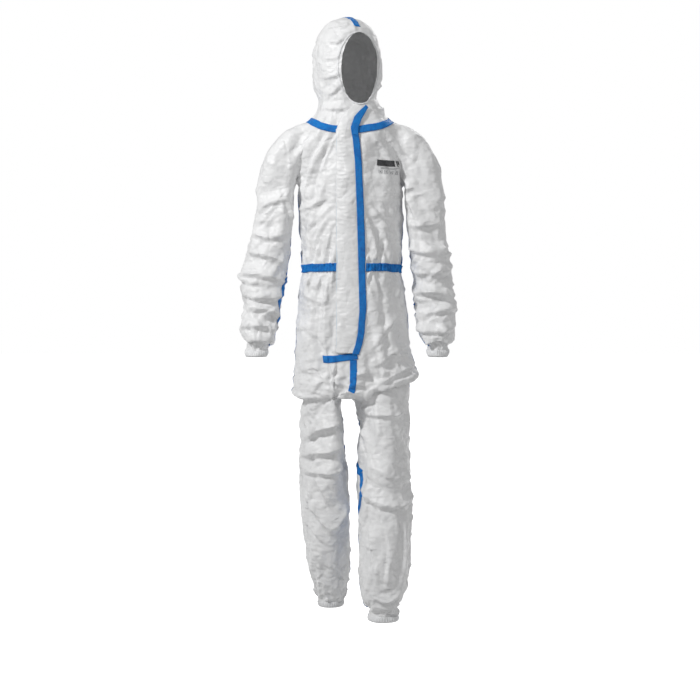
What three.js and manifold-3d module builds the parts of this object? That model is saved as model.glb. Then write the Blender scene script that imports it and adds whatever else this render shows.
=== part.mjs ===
// A hooded chemical protective coverall in the shape that it takes when it is worn: a thin shell of
// body panels, sleeves, legs and hood, a zip under a storm flap, taped seams and elastic bands.
// Millimetres. +Z is up, +X is the wearer's left and -Y is the front. The origin is at the centre of
// the neck, level with the collar seam at the sides, where the wearer carries the suit.
import * as THREE from "three";
import { mergeVertices } from "three/addons/utils/BufferGeometryUtils.js";
import Module from "manifold-3d";

const wasm = await Module();
wasm.setup();

// ---- Driving dimensions ------------------------------------------------------------------------
// Heights and lengths along Z.
const HOOD_HEIGHT = 298; // origin to crown
const TORSO_LENGTH = 776; // origin to the leg line
const WAIST_DEPTH = 410; // origin to the middle of the waist elastic
const LEG_LENGTH = 620; // leg line to the ankle hem
const SLEEVE_DROP = 662; // origin to the cuff's end
const SHOULDER_DROP = 36; // origin to the top of the shoulder

// Half widths along X, and depths along Y to the front and to the back.
const NECK_HALF = 80;
const COLLAR_HALF = 112;
const CHEST_HALF = 158;
const WAIST_HALF = 146;
const HIP_HALF = 180;
const HIP_SHIFT = 9; // the hips stand this far to the wearer's left of the neck
const FRONT_AT_COLLAR = 88; // the front line is straight from here
const FRONT_AT_CROTCH = 118; // to here, so that the zip runs straight
const BACK_AT_COLLAR = 84;
const BACK_AT_CHEST = 106;
const BACK_AT_WAIST = 94;
const BACK_AT_SEAT = 118;
const SQUARENESS = 2.3; // exponent of the rounded sections of body and hood

// Collar and hood.
const COLLAR_TILT = 17; // degrees that the collar seam drops towards the front
const HOOD_BASE = 42; // the hood turns above this height
const HEAD_HALF = 98;
const HEAD_FRONT = 94;
const HEAD_BACK = 122;
const HOOD_TURN = 26; // the head looks this many degrees to the wearer's left
const FACE_HALF_WIDTH = 55;
const FACE_LOW = 54; // chin edge of the face opening
const BROW_DROP = 40; // crown to the brow edge of the face opening
const FACE_BAND = 9; // width of the elastic round the face

// Sleeves.
const SLEEVE_HALF = 53;
const SLEEVE_DEPTH = 62;
const ARM_CLEARANCE = 5; // between the body's side and the sleeve beside it
const HAND_CLEARANCE = { left: 8, right: 44 }; // between the hips' side and the sleeve's at the cuff
const CUFF_HALF = 31;
const CUFF_HEIGHT = 28;
const CUFF_FORWARD = 32; // the cuff hangs this far in front of the shoulder

// Legs.
const THIGH_HALF = 81;
const THIGH_DEPTH = 98;
const SHIN_HALF = 72;
const LEG_GAP = 11; // between the two legs at the crotch
const OVERHANG = 12; // the body's cloth reaches at least this far out over each leg
const ANKLE_HALF = 46;
const ANKLE_HEIGHT = 34;
const STRIDE = 96; // each ankle's distance in front of or behind the hip

// Fold zones: the fabric that bends at each joint.
const ARMPIT = 152; // origin to the underarm
const ELBOW = 430; // origin to the middle of the elbow
const ELBOW_FOLD = 80;
const HIP_FOLD = 80;
const KNEE = 350; // leg line to the middle of the knee
const KNEE_FOLD = 100;
const JOINT_GAP = 1; // between a fold and the fabric above and below it

// Fabric, tape and clearances.
const WALL = 2.4;
const SEAM_GAP = 0.4; // between two panels that a seam joins
const TAPE_LIFT = 0.4; // from the fabric to the tape on it
const TAPE_THICK = 0.9;
const TAPE_WIDTH = 19;
const WAIST_BAND = 26;

// Zip and storm flap. Heights here run along the front line, down from the origin.
const ZIP_TOP = 34;
const ZIP_LENGTH = 606;
const ZIP_SLIT_HALF = 8;
const ZIP_TAPE_HALF = 15;
const ZIP_TAPE_THICK = 0.8;
const COIL_INNER = 0.9;
const COIL_OUTER = 3.4;
const COIL_THICK = 3.4;
const ZIP_SINK = 2; // from the fabric's inner face to the zip tape
const ZIP_CLEARANCE = 0.35;
const STOP_HEIGHT = 4;
const SLIDER_LENGTH = 13;
const SLIDER_HALF = 5.5;
const SLIDER_WALL = 1;
const SLIDER_PARK = 4; // from the zip's top end to the slider's
const LUG_HEIGHT = 2.2;
const PULLER_LENGTH = 30;
const PULLER_WIDTH = 7;
const PULLER_THICK = 1.1;
const FLAP_TOP = 30;
const FLAP_LENGTH = 618;
const FLAP_FREE_EDGE = -38;
const FLAP_SEWN_EDGE = 20;
const FLAP_THICK = 1.4;
const FLAP_ARCH = 6.4; // rise of the flap's arch over the slider
const FLAP_FOOT = 9; // flat margin along each edge of the flap
const ADHESIVE_THICK = 0.5;
const FLAP_END_REACH = 88; // the tape under the flap's end starts this far to the right

// Generic label on the left chest.
const LABEL_LEFT = 78;
const LABEL_WIDTH = 66;
const LABEL_TOP = 112;
const LABEL_HEIGHT = 40;

const SIDES = { body: 40, hood: 28, sleeve: 20, leg: 22, strip: 8 };
const FAR = 2000; // half size of a cutting block
const UP = Math.PI / 2;
const BROW_EDGE = HOOD_HEIGHT - BROW_DROP;
const HIPS = Math.max(HIP_HALF, LEG_GAP / 2 + 2 * THIGH_HALF + OVERHANG);

// ---- Finishes ----------------------------------------------------------------------------------
const finish = (color, roughness, metalness = 0) =>
  new THREE.MeshStandardMaterial({ color, roughness, metalness });
const whiteFilm = finish(0xe9eaeb, 0.55);
const foldFilm = finish(0xdcdde0, 0.6);
const blueTape = finish(0x1173c4, 0.38);
const elasticWhite = finish(0xe2e3e5, 0.7);
const zipCoil = finish(0xdadcdf, 0.5);
const zipMetal = finish(0xb9bcc0, 0.3, 0.9);
const linerPaper = finish(0xf2efe6, 0.45);
const printBlack = finish(0x17181a, 0.5);

// ---- Making solids -----------------------------------------------------------------------------
const suit = new THREE.Group();

/** A closed three.js geometry as a solid that can be cut and joined. */
function solid(geometry) {
  const bare = geometry.clone();
  bare.deleteAttribute("normal");
  bare.deleteAttribute("uv");
  const merged = mergeVertices(bare, 1e-3);
  return new wasm.Manifold(
    new wasm.Mesh({
      numProp: 3,
      vertProperties: new Float32Array(merged.attributes.position.array),
      triVerts: new Uint32Array(merged.index.array),
    }),
  );
}

/** A box geometry between two corners. */
function box(low, high) {
  const size = high.map((h, i) => h - low[i]);
  const centre = high.map((h, i) => (h + low[i]) / 2);
  return new THREE.BoxGeometry(...size).translate(...centre);
}

const block = (low, high) => solid(box(low, high));
const slab = (zLow, zHigh) => block([-FAR, -FAR, zLow], [FAR, FAR, zHigh]);

/** Adds a solid to a group as a named mesh. */
function add(name, shape, material, parent = suit) {
  const { vertProperties, triVerts, numProp, numVert } = shape.getMesh();
  const points = new Float32Array(numVert * 3);
  for (let i = 0; i < numVert; i++) {
    points.set(vertProperties.subarray(i * numProp, i * numProp + 3), i * 3);
  }
  const geometry = new THREE.BufferGeometry();
  geometry.setAttribute("position", new THREE.BufferAttribute(points, 3));
  geometry.setIndex(new THREE.BufferAttribute(triVerts, 1));
  geometry.computeVertexNormals();
  const mesh = new THREE.Mesh(geometry, material);
  mesh.name = name;
  parent.add(mesh);
}

/** One level section: its height, its centre, its half width and its depths. */
const ring = (z, x, y, half, front, back = front, power = 2) => ({ z, x, y, half, front, back, power });

/** The sections with more put between them on a smooth curve. */
function smooth(rings, steps) {
  const places = new THREE.CatmullRomCurve3(rings.map((r) => new THREE.Vector3(r.x, r.y, r.z)));
  const sizes = new THREE.CatmullRomCurve3(rings.map((r) => new THREE.Vector3(r.half, r.front, r.back)));
  const count = (rings.length - 1) * steps;
  return Array.from({ length: count + 1 }, (_, i) => {
    const place = places.getPoint(i / count);
    const size = sizes.getPoint(i / count);
    return ring(place.z, place.x, place.y, size.x, size.y, size.z, rings[0].power);
  });
}

/** How far out a rounded section reaches along a unit direction. */
const reach = (cos, sin, power) => (Math.abs(cos) ** power + Math.abs(sin) ** power) ** (-1 / power);

/** The point at an angle on a section's outline. Zero is +X and a quarter turn is the back. */
function outline(r, angle) {
  const [cos, sin] = [Math.cos(angle), Math.sin(angle)];
  const out = reach(cos, sin, r.power);
  return [r.x + cos * out * r.half, r.y + sin * out * (sin < 0 ? r.front : r.back)];
}

/** A solid through level sections, from the top one down, grown outwards by an amount. */
function skin(rings, sides, grow = 0) {
  const stack = new THREE.CylinderGeometry(1, 1, 1, sides, rings.length - 1);
  const at = stack.attributes.position;
  for (let i = 0; i < at.count; i++) {
    const r = rings[Math.round((0.5 - at.getY(i)) * (rings.length - 1))];
    const [across, back] = [at.getX(i), -at.getZ(i)];
    const grown = { ...r, half: r.half + grow, front: r.front + grow, back: r.back + grow };
    const centre = Math.hypot(across, back) < 0.5;
    const [x, y] = centre ? [r.x, r.y] : outline(grown, Math.atan2(back, across));
    at.setXYZ(i, x, y, r.z);
  }
  return solid(stack);
}

/** The same sections with the first and last moved outwards along Z, for cutting clear through. */
function longer(rings, by) {
  const out = rings.map((r) => ({ ...r }));
  out[0].z += by;
  out.at(-1).z -= by;
  return out;
}

const hollow = (rings, sides) => skin(rings, sides).subtract(skin(longer(rings, 5), sides, -WALL));

/** A hollow skin that is closed at its top. */
function pouch(rings, sides) {
  const inside = longer(rings, 5);
  inside[0].z = rings[0].z - WALL;
  return skin(rings, sides).subtract(skin(inside, sides, -WALL));
}

const film = (rings, sides) =>
  skin(rings, sides, TAPE_LIFT + TAPE_THICK).subtract(skin(longer(rings, 5), sides, TAPE_LIFT));

/** A rod that follows a seam at an angle round the sections. It cuts a strip of tape from a film. */
function rod(rings, angle, width = TAPE_WIDTH) {
  const along = rings.map((r) => {
    const [x, y] = outline(r, angle);
    return ring(r.z, x, y, width / 2, width / 2);
  });
  return skin(longer(along, 5), SIDES.strip);
}

// ---- Sections ----------------------------------------------------------------------------------
const frontSlope = (FRONT_AT_CROTCH - FRONT_AT_COLLAR) / TORSO_LENGTH;
const bodyRing = (z, half, back, shift = 0) =>
  ring(z, shift * HIP_SHIFT, 0, half, FRONT_AT_COLLAR - frontSlope * z, back, SQUARENESS);
const bodyRings = smooth(
  [
    bodyRing(HOOD_BASE, NECK_HALF, BACK_AT_COLLAR),
    bodyRing(0, COLLAR_HALF, BACK_AT_COLLAR + 4),
    bodyRing(-SHOULDER_DROP * 1.3, CHEST_HALF, BACK_AT_CHEST - 6),
    bodyRing(-ARMPIT, CHEST_HALF, BACK_AT_CHEST),
    bodyRing(-WAIST_DEPTH * 0.7, CHEST_HALF - 4, BACK_AT_CHEST, 0.3),
    bodyRing(-WAIST_DEPTH, WAIST_HALF, BACK_AT_WAIST, 0.6),
    bodyRing(-WAIST_DEPTH * 0.35 - TORSO_LENGTH * 0.65, HIPS - 4, BACK_AT_SEAT, 1),
    bodyRing(-TORSO_LENGTH, HIPS, BACK_AT_SEAT, 1),
  ],
  2,
);

const hoodRing = (z, half, front, back) => ring(z, 0, 0, half, front, back, SQUARENESS);
const hoodRings = smooth(
  [
    hoodRing(HOOD_HEIGHT, 26, 30, 36),
    hoodRing(HOOD_HEIGHT * 0.94, HEAD_HALF * 0.66, HEAD_FRONT * 0.66, HEAD_BACK * 0.68),
    hoodRing(HOOD_HEIGHT * 0.78, HEAD_HALF * 0.97, HEAD_FRONT * 0.94, HEAD_BACK * 0.96),
    hoodRing(HOOD_HEIGHT * 0.5, HEAD_HALF, HEAD_FRONT, HEAD_BACK),
    hoodRing(HOOD_BASE + JOINT_GAP, NECK_HALF, FRONT_AT_COLLAR, BACK_AT_COLLAR),
  ],
  2,
);

/** A sleeve's sections. side is 1 for the wearer's left and -1 for the right. */
function sleeveRings(side, handClearance) {
  const atArmpit = Math.max(CHEST_HALF, WAIST_HALF) + ARM_CLEARANCE;
  const lean = HIPS + side * HIP_SHIFT + handClearance - atArmpit;
  const inner = (drop) => atArmpit + (lean * (drop - ARMPIT)) / (SLEEVE_DROP - ARMPIT);
  const hang = (drop, forward, half, depth) =>
    ring(-drop, side * (inner(drop) + SLEEVE_HALF), -forward * CUFF_FORWARD, half, depth);
  const cap = (drop, outer, half, depth) => ring(-drop, side * (outer - half), 0, half, depth);
  const cuffTop = SLEEVE_DROP - CUFF_HEIGHT;
  return [
    cap(SHOULDER_DROP, CHEST_HALF + 40, 40, SLEEVE_DEPTH * 0.6),
    cap(SHOULDER_DROP + 20, CHEST_HALF + 72, 62, SLEEVE_DEPTH * 0.9),
    cap(SHOULDER_DROP + 54, CHEST_HALF + 98, 66, SLEEVE_DEPTH),
    hang(ARMPIT, 0, SLEEVE_HALF, SLEEVE_DEPTH),
    hang(ELBOW - ELBOW_FOLD / 2, 0, SLEEVE_HALF, SLEEVE_DEPTH),
    hang(ELBOW + ELBOW_FOLD / 2, 0.1, SLEEVE_HALF, SLEEVE_DEPTH),
    hang(cuffTop - 66, 0.6, SLEEVE_HALF, SLEEVE_DEPTH - 4),
    hang(cuffTop - 22, 0.85, SLEEVE_HALF - 6, SLEEVE_DEPTH - 14),
    hang(cuffTop, 0.95, CUFF_HALF + 3, CUFF_HALF + 3),
    hang(SLEEVE_DROP, 1, CUFF_HALF, CUFF_HALF),
  ];
}

/** A leg's sections, from the leg line down. stride is 1 in front and -1 behind. */
function legRings(side, stride) {
  const x = HIP_SHIFT + side * (LEG_GAP / 2 + THIGH_HALF);
  const hang = (drop, inward, half, depth) =>
    ring(-TORSO_LENGTH - drop, x - side * inward, (-stride * STRIDE * drop) / LEG_LENGTH, half, depth);
  const ankleTop = LEG_LENGTH - ANKLE_HEIGHT;
  return [
    hang(WALL + SEAM_GAP * 2, 0, THIGH_HALF, THIGH_DEPTH),
    hang(HIP_FOLD, 0, THIGH_HALF, THIGH_DEPTH),
    hang(KNEE - KNEE_FOLD / 2, 0, THIGH_HALF, THIGH_DEPTH - 8),
    hang(KNEE + KNEE_FOLD / 2, 0, THIGH_HALF, THIGH_DEPTH - 10),
    hang(ankleTop - 96, 4, SHIN_HALF, SHIN_HALF + 4),
    hang(ankleTop - 28, 8, ANKLE_HALF + 16, ANKLE_HALF + 18),
    hang(ankleTop, 10, ANKLE_HALF + 3, ANKLE_HALF + 5),
    hang(LEG_LENGTH, 10, ANKLE_HALF, ANKLE_HALF + 2),
  ];
}

const sleeves = {
  left: sleeveRings(1, HAND_CLEARANCE.left),
  right: sleeveRings(-1, HAND_CLEARANCE.right),
};
const legs = { left: legRings(1, 1), right: legRings(-1, -1) };

// The collar seam lies in a plane that drops towards the front. Blocks below and above it:
const collarTilt = THREE.MathUtils.degToRad(COLLAR_TILT);
const collarSlab = (low, high) =>
  solid(box([-FAR, -FAR, low], [FAR, FAR, high]).rotateX(collarTilt));
const flapSpan = (gap) => [FLAP_FREE_EDGE - gap, FLAP_SEWN_EDGE + TAPE_WIDTH + gap];

// ---- Body --------------------------------------------------------------------------------------
/** The four body panels, cut apart at the zip, the centre back and the side seams. */
function addPanels() {
  let shell = hollow(bodyRings, SIDES.body).intersect(collarSlab(-FAR, -SEAM_GAP / 2));
  for (const rings of Object.values(sleeves)) {
    shell = shell.subtract(skin(rings.slice(0, 4), SIDES.sleeve, -WALL));
  }
  const zipEnd = -(ZIP_TOP + ZIP_LENGTH) * Math.cos(Math.atan(frontSlope));
  shell = shell.subtract(block([-ZIP_SLIT_HALF, -FAR, zipEnd], [ZIP_SLIT_HALF, 0, FAR]));
  shell = shell.subtract(block([-SEAM_GAP / 2, -FAR, -FAR], [SEAM_GAP / 2, FAR, FAR]));
  shell = shell.subtract(block([-FAR, -SEAM_GAP / 2, -FAR], [FAR, SEAM_GAP / 2, FAR]));
  for (const [side, low, high] of [["left", 0, FAR], ["right", -FAR, 0]]) {
    add(`front_panel_${side}`, shell.intersect(block([low, -FAR, -FAR], [high, 0, FAR])), whiteFilm);
    add(`back_panel_${side}`, shell.intersect(block([low, 0, -FAR], [high, FAR, FAR])), whiteFilm);
  }
}

/** The gusset closes the body round the two legs. */
function addGusset() {
  const floor = bodyRings.at(-1);
  const edges = [floor.z - SEAM_GAP, floor.z - SEAM_GAP - WALL].map((z) => ({ ...floor, z }));
  let plate = skin(edges, SIDES.body);
  for (const rings of Object.values(legs)) {
    const top = rings[0];
    plate = plate.subtract(skin(longer([top, { ...top, z: top.z - WALL }], 20), SIDES.leg, -WALL));
  }
  add("crotch_gusset", plate, whiteFilm);
}

/** Tapes over the body's seams, and the elastic band round the waist. */
function addBodyTapes() {
  const wrap = film(bodyRings, SIDES.body);
  const top = -ARMPIT - 2 * TAPE_WIDTH;
  const below = slab(-FAR, top);
  add("side_tape_left", wrap.intersect(rod(bodyRings, 0)).intersect(below), blueTape);
  add("side_tape_right", wrap.intersect(rod(bodyRings, 2 * UP)).intersect(below), blueTape);

  const collarStrip = wrap.intersect(collarSlab(-TAPE_WIDTH - SEAM_GAP, -SEAM_GAP));
  const [flapRight, flapLeft] = flapSpan(1);
  add("collar_tape", collarStrip.subtract(block([flapRight, -FAR, -FAR], [flapLeft, 0, FAR])), blueTape);

  const seam = block([-TAPE_WIDTH / 2, 0, -FAR], [TAPE_WIDTH / 2, FAR, FAR]);
  const backTape = wrap.intersect(seam).intersect(collarSlab(-FAR, -TAPE_WIDTH - 1));
  add("centre_back_tape", backTape, blueTape);

  const half = TAPE_WIDTH / 2 + 1;
  let band = wrap.intersect(slab(-WAIST_DEPTH - WAIST_BAND / 2, -WAIST_DEPTH + WAIST_BAND / 2));
  band = band.subtract(block([flapRight, -FAR, -FAR], [flapLeft, 0, FAR]));
  band = band.subtract(block([-half, 0, -FAR], [half, FAR, FAR]));
  band = band.subtract(block([-FAR, -half, -FAR], [FAR, half, FAR]));
  for (const [side, low, high] of [["left", 0, FAR], ["right", -FAR, 0]]) {
    add(`waist_tape_front_${side}`, band.intersect(block([low, -FAR, -FAR], [high, 0, FAR])), blueTape);
    add(`waist_tape_back_${side}`, band.intersect(block([low, 0, -FAR], [high, FAR, FAR])), blueTape);
  }

  const patch = block([LABEL_LEFT, -FAR, -LABEL_TOP - LABEL_HEIGHT], [LABEL_LEFT + LABEL_WIDTH, 0, -LABEL_TOP]);
  add("chest_label", wrap.intersect(patch), printBlack);
}

/** The fabric of the neck, from the collar seam to the hood, and the chin flap that closes it. */
function addNeck() {
  const neck = hollow(bodyRings, SIDES.body).intersect(collarSlab(SEAM_GAP / 2, FAR));
  const gap = block([-ZIP_SLIT_HALF, -FAR, -FAR], [ZIP_SLIT_HALF, 0, FAR]);
  add("neck_fold", neck.subtract(gap), foldFilm);
  const chin = film(bodyRings, SIDES.body).intersect(collarSlab(SEAM_GAP, FAR));
  const flap = block([FLAP_FREE_EDGE, -FAR, -FAR], [FLAP_SEWN_EDGE, 0, FAR]);
  add("chin_flap", chin.intersect(flap), foldFilm);
}

// ---- Hood --------------------------------------------------------------------------------------
/** The two hood panels, the tape over their seam and the elastic round the face. */
function addHood() {
  const head = new THREE.Group();
  head.rotation.z = THREE.MathUtils.degToRad(HOOD_TURN);
  suit.add(head);
  const face = (grow) => {
    const hole = new THREE.CylinderGeometry(1, 1, FAR, SIDES.hood);
    hole.scale(FACE_HALF_WIDTH + grow, 1, (BROW_EDGE - FACE_LOW) / 2 + grow);
    return solid(hole.translate(0, -FAR / 2, (BROW_EDGE + FACE_LOW) / 2));
  };
  const shell = pouch(hoodRings, SIDES.hood);
  const panels = shell
    .subtract(face(FACE_BAND + SEAM_GAP))
    .subtract(block([-SEAM_GAP / 2, -FAR, -FAR], [SEAM_GAP / 2, FAR, FAR]));
  add("hood_panel_left", panels.intersect(block([0, -FAR, -FAR], [FAR, FAR, FAR])), whiteFilm, head);
  add("hood_panel_right", panels.intersect(block([-FAR, -FAR, -FAR], [0, FAR, FAR])), whiteFilm, head);
  add("face_elastic", shell.intersect(face(FACE_BAND)).subtract(face(0)), elasticWhite, head);

  const cap = skin(hoodRings, SIDES.hood, TAPE_LIFT + TAPE_THICK);
  const lifted = hoodRings.map((r) => ({ ...r, z: r.z + TAPE_LIFT + TAPE_THICK }));
  const under = skin(longer(hoodRings, TAPE_LIFT), SIDES.hood, TAPE_LIFT);
  const over = skin(lifted, SIDES.hood, TAPE_LIFT + TAPE_THICK);
  const strip = block([-TAPE_WIDTH / 2, -FAR, HOOD_BASE + TAPE_WIDTH], [TAPE_WIDTH / 2, FAR, FAR]);
  const tape = cap.add(over).subtract(under).intersect(strip).subtract(face(FACE_BAND + SEAM_GAP));
  const crown = block([-FAR, -FAR, (BROW_EDGE + FACE_LOW) / 2], [FAR, 0, FAR]);
  const nape = block([-FAR, 0, -FAR], [FAR, FAR, FAR]);
  add("hood_seam_tape", tape.intersect(crown.add(nape)), blueTape, head);
}

// ---- Zip and storm flap ------------------------------------------------------------------------
// A group whose Z runs up the front line, whose X is the suit's and whose -Y faces out. Its origin is
// on the fabric's outer face, level with the suit's origin.
const front = new THREE.Group();
front.position.y = -FRONT_AT_COLLAR;
front.rotation.x = -Math.atan(frontSlope);
suit.add(front);

const zipBottom = -ZIP_TOP - ZIP_LENGTH;
const tapeFace = WALL + ZIP_SINK; // depth of the zip tape's face behind the fabric's outer face
const coilFace = tapeFace - COIL_THICK;

/** The two tapes with their coils, and the stop at the bottom. */
function addZip() {
  for (const [name, side] of [["left", 1], ["right", -1]]) {
    const across = (a, b) => [side * a, side * b].sort((p, q) => p - q);
    const [tapeLow, tapeHigh] = across(COIL_INNER, ZIP_TAPE_HALF);
    const [coilLow, coilHigh] = across(COIL_INNER, COIL_OUTER);
    const tape = block([tapeLow, tapeFace, zipBottom], [tapeHigh, tapeFace + ZIP_TAPE_THICK, -ZIP_TOP]);
    const coil = block([coilLow, coilFace, zipBottom + 2 * STOP_HEIGHT], [coilHigh, tapeFace, -ZIP_TOP]);
    add(`zip_tape_${name}`, tape.add(coil), zipCoil, front);
  }
  const stopLow = zipBottom + STOP_HEIGHT / 2;
  const stop = block([-COIL_OUTER, coilFace, stopLow], [COIL_OUTER, tapeFace - SEAM_GAP, stopLow + STOP_HEIGHT]);
  add("zip_bottom_stop", stop, zipMetal, front);
}

const sliderTop = -ZIP_TOP - SLIDER_PARK;
const sliderLow = sliderTop - SLIDER_LENGTH;
const plateOut = coilFace - ZIP_CLEARANCE; // inner face of the slider's front plate
const plateFace = plateOut - SLIDER_WALL; // outer face of the slider's front plate
const lugFace = plateFace - LUG_HEIGHT;
const hookDrop = SLIDER_LENGTH * 0.45; // from the slider's top to the puller's pin

/** The slider: a front plate with a lug, a back plate, and the bridge that joins them. */
function addSlider() {
  const backIn = tapeFace + ZIP_TAPE_THICK + ZIP_CLEARANCE;
  const bridgeHalf = COIL_INNER - ZIP_CLEARANCE;
  const lugTop = sliderTop - hookDrop + PULLER_WIDTH * 0.25;
  const lugLow = sliderTop - hookDrop - PULLER_WIDTH * 0.25;
  const plate = block([-SLIDER_HALF, plateFace, sliderLow], [SLIDER_HALF, plateOut, sliderTop]);
  const back = block([-SLIDER_HALF, backIn, sliderLow], [SLIDER_HALF, backIn + SLIDER_WALL, sliderTop]);
  const bridge = block([-bridgeHalf, plateFace, sliderLow + 2], [bridgeHalf, backIn + SLIDER_WALL, sliderTop]);
  const lug = block([-1, lugFace, lugLow], [1, plateFace, lugTop]);
  const cap = block([-2, lugFace, lugLow - 1], [2, lugFace + 0.7, lugTop + 1]);
  add("zip_slider", plate.add(back).add(bridge).add(lug).add(cap), zipMetal, front);
}

/** The puller: a flat tab with an eye that hangs on the slider's lug. */
function addPuller() {
  const shape = new THREE.Shape();
  const r = PULLER_WIDTH / 2;
  const tail = PULLER_LENGTH - 2 * r;
  shape.absarc(0, 0, r, 0, Math.PI, false);
  shape.lineTo(-r, -tail);
  shape.absarc(0, -tail, r, Math.PI, 2 * Math.PI, false);
  shape.closePath();
  const eye = new THREE.Path();
  eye.absarc(0, 0, r - 1.2, 0, 2 * Math.PI, true);
  shape.holes.push(eye);
  const tab = new THREE.ExtrudeGeometry(shape, { depth: PULLER_THICK, bevelEnabled: false, curveSegments: 8 });
  tab.rotateX(UP);
  tab.translate(0, plateFace - ZIP_CLEARANCE, sliderTop - hookDrop);
  add("zip_puller", solid(tab), zipMetal, front);
}

/** The storm flap: an arched strip from its sewn edge over the zip to its free edge. */
function addFlap() {
  const lift = TAPE_LIFT + ADHESIVE_THICK + SEAM_GAP;
  const span = [FLAP_FREE_EDGE + FLAP_FOOT, FLAP_SEWN_EDGE - FLAP_FOOT / 2];
  const middle = (span[0] + span[1]) / 2;
  const spread = (span[1] - span[0]) / 2;
  const arch = (grow) => {
    const bow = [];
    for (let i = 0; i <= 8; i++) {
      const t = -1 + i / 4;
      const rise = FLAP_ARCH * Math.sqrt(Math.max(0, 1 - t ** 4));
      bow.push(new THREE.Vector2(middle + t * spread, lift + grow + rise));
    }
    const start = new THREE.Vector2(FLAP_FREE_EDGE, lift + grow);
    const end = new THREE.Vector2(FLAP_SEWN_EDGE, lift + grow);
    return [start, ...bow, end];
  };
  const shape = new THREE.Shape([...arch(0), ...arch(FLAP_THICK).reverse()]);
  const strip = new THREE.ExtrudeGeometry(shape, { depth: FLAP_LENGTH, bevelEnabled: false });
  strip.rotateX(Math.PI);
  const outward = solid(strip.translate(0, 0, -FLAP_TOP));
  add("storm_flap", outward, whiteFilm, front);
  const edge = [FLAP_SEWN_EDGE + SEAM_GAP, FLAP_SEWN_EDGE + SEAM_GAP + TAPE_WIDTH];
  const tape = block([edge[0], -lift - TAPE_THICK, -FLAP_TOP - FLAP_LENGTH], [edge[1], -lift, -FLAP_TOP]);
  add("flap_edge_tape", tape, blueTape, front);
  const foot = [FLAP_FREE_EDGE, FLAP_FREE_EDGE + FLAP_FOOT - SEAM_GAP];
  const adhesive = block(
    [foot[0], -TAPE_LIFT - ADHESIVE_THICK, -FLAP_TOP - FLAP_LENGTH],
    [foot[1], -TAPE_LIFT, -FLAP_TOP],
  );
  add("adhesive_strip", adhesive, linerPaper, front);
}

/** The tape across the flap's lower end, and the one from there down to the crotch. */
function addLowerTapes() {
  const wrap = film(bodyRings, SIDES.body);
  const flapEnd = -(FLAP_TOP + FLAP_LENGTH) * Math.cos(Math.atan(frontSlope)) - 1;
  const across = block([-FLAP_END_REACH, -FAR, flapEnd - TAPE_WIDTH], [FLAP_SEWN_EDGE, 0, flapEnd]);
  add("flap_end_tape", wrap.intersect(across), blueTape);
  const down = block([-TAPE_WIDTH / 2, -FAR, -FAR], [TAPE_WIDTH / 2, 0, flapEnd - TAPE_WIDTH - SEAM_GAP]);
  add("centre_front_tape", wrap.intersect(down), blueTape);
}

// ---- Sleeves and legs --------------------------------------------------------------------------
/** The shoulder fold, upper sleeve, elbow fold, lower sleeve, cuff and underarm tapes of one arm. */
function addSleeve(name, angle) {
  const rings = sleeves[name];
  const tube = pouch(rings, SIDES.sleeve);
  const body = skin(longer(bodyRings, 5), SIDES.body, SEAM_GAP);
  const elbowTop = -ELBOW + ELBOW_FOLD / 2;
  const elbowLow = -ELBOW - ELBOW_FOLD / 2;
  const cuffTop = -SLEEVE_DROP + CUFF_HEIGHT;
  add(`shoulder_fold_${name}`, tube.intersect(slab(-ARMPIT + JOINT_GAP, FAR)).subtract(body), foldFilm);
  add(`upper_sleeve_${name}`, tube.intersect(slab(elbowTop, -ARMPIT)), whiteFilm);
  add(`elbow_fold_${name}`, tube.intersect(slab(elbowLow + JOINT_GAP, elbowTop - JOINT_GAP)), foldFilm);
  add(`lower_sleeve_${name}`, tube.intersect(slab(cuffTop, elbowLow)), whiteFilm);
  add(`cuff_elastic_${name}`, tube.intersect(slab(-FAR, cuffTop - SEAM_GAP)), elasticWhite);
  const strip = film(rings, SIDES.sleeve).intersect(rod(rings, angle));
  const upper = slab(elbowTop, -ARMPIT - TAPE_WIDTH);
  add(`underarm_tape_upper_${name}`, strip.intersect(upper), blueTape);
  add(`underarm_tape_lower_${name}`, strip.intersect(slab(cuffTop, elbowLow)), blueTape);
}

/** The hip fold, thigh, knee fold, shin, ankle elastic and inseam tapes of one leg. */
function addLeg(name, angle) {
  const rings = legs[name];
  const tube = hollow(rings, SIDES.leg);
  const hipLow = -TORSO_LENGTH - HIP_FOLD;
  const kneeTop = -TORSO_LENGTH - KNEE + KNEE_FOLD / 2;
  const kneeLow = -TORSO_LENGTH - KNEE - KNEE_FOLD / 2;
  const ankleTop = -TORSO_LENGTH - LEG_LENGTH + ANKLE_HEIGHT;
  add(`hip_fold_${name}`, tube.intersect(slab(hipLow + JOINT_GAP, FAR)), foldFilm);
  add(`thigh_${name}`, tube.intersect(slab(kneeTop, hipLow)), whiteFilm);
  add(`knee_fold_${name}`, tube.intersect(slab(kneeLow + JOINT_GAP, kneeTop - JOINT_GAP)), foldFilm);
  add(`shin_${name}`, tube.intersect(slab(ankleTop, kneeLow)), whiteFilm);
  add(`ankle_elastic_${name}`, tube.intersect(slab(-FAR, ankleTop - SEAM_GAP)), elasticWhite);
  const strip = film(rings, SIDES.leg).intersect(rod(rings, angle));
  add(`inseam_tape_upper_${name}`, strip.intersect(slab(kneeTop, hipLow)), blueTape);
  add(`inseam_tape_lower_${name}`, strip.intersect(slab(ankleTop, kneeLow)), blueTape);
}

addPanels();
addGusset();
addBodyTapes();
addNeck();
addHood();
addZip();
addSlider();
addPuller();
addFlap();
addLowerTapes();
addSleeve("left", Math.PI + UP / 3); // the tapes lie on the inner side, a little to the front
addSleeve("right", -UP / 3);
addLeg("left", Math.PI + UP / 3);
addLeg("right", -UP / 3);

export default suit;
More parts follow.
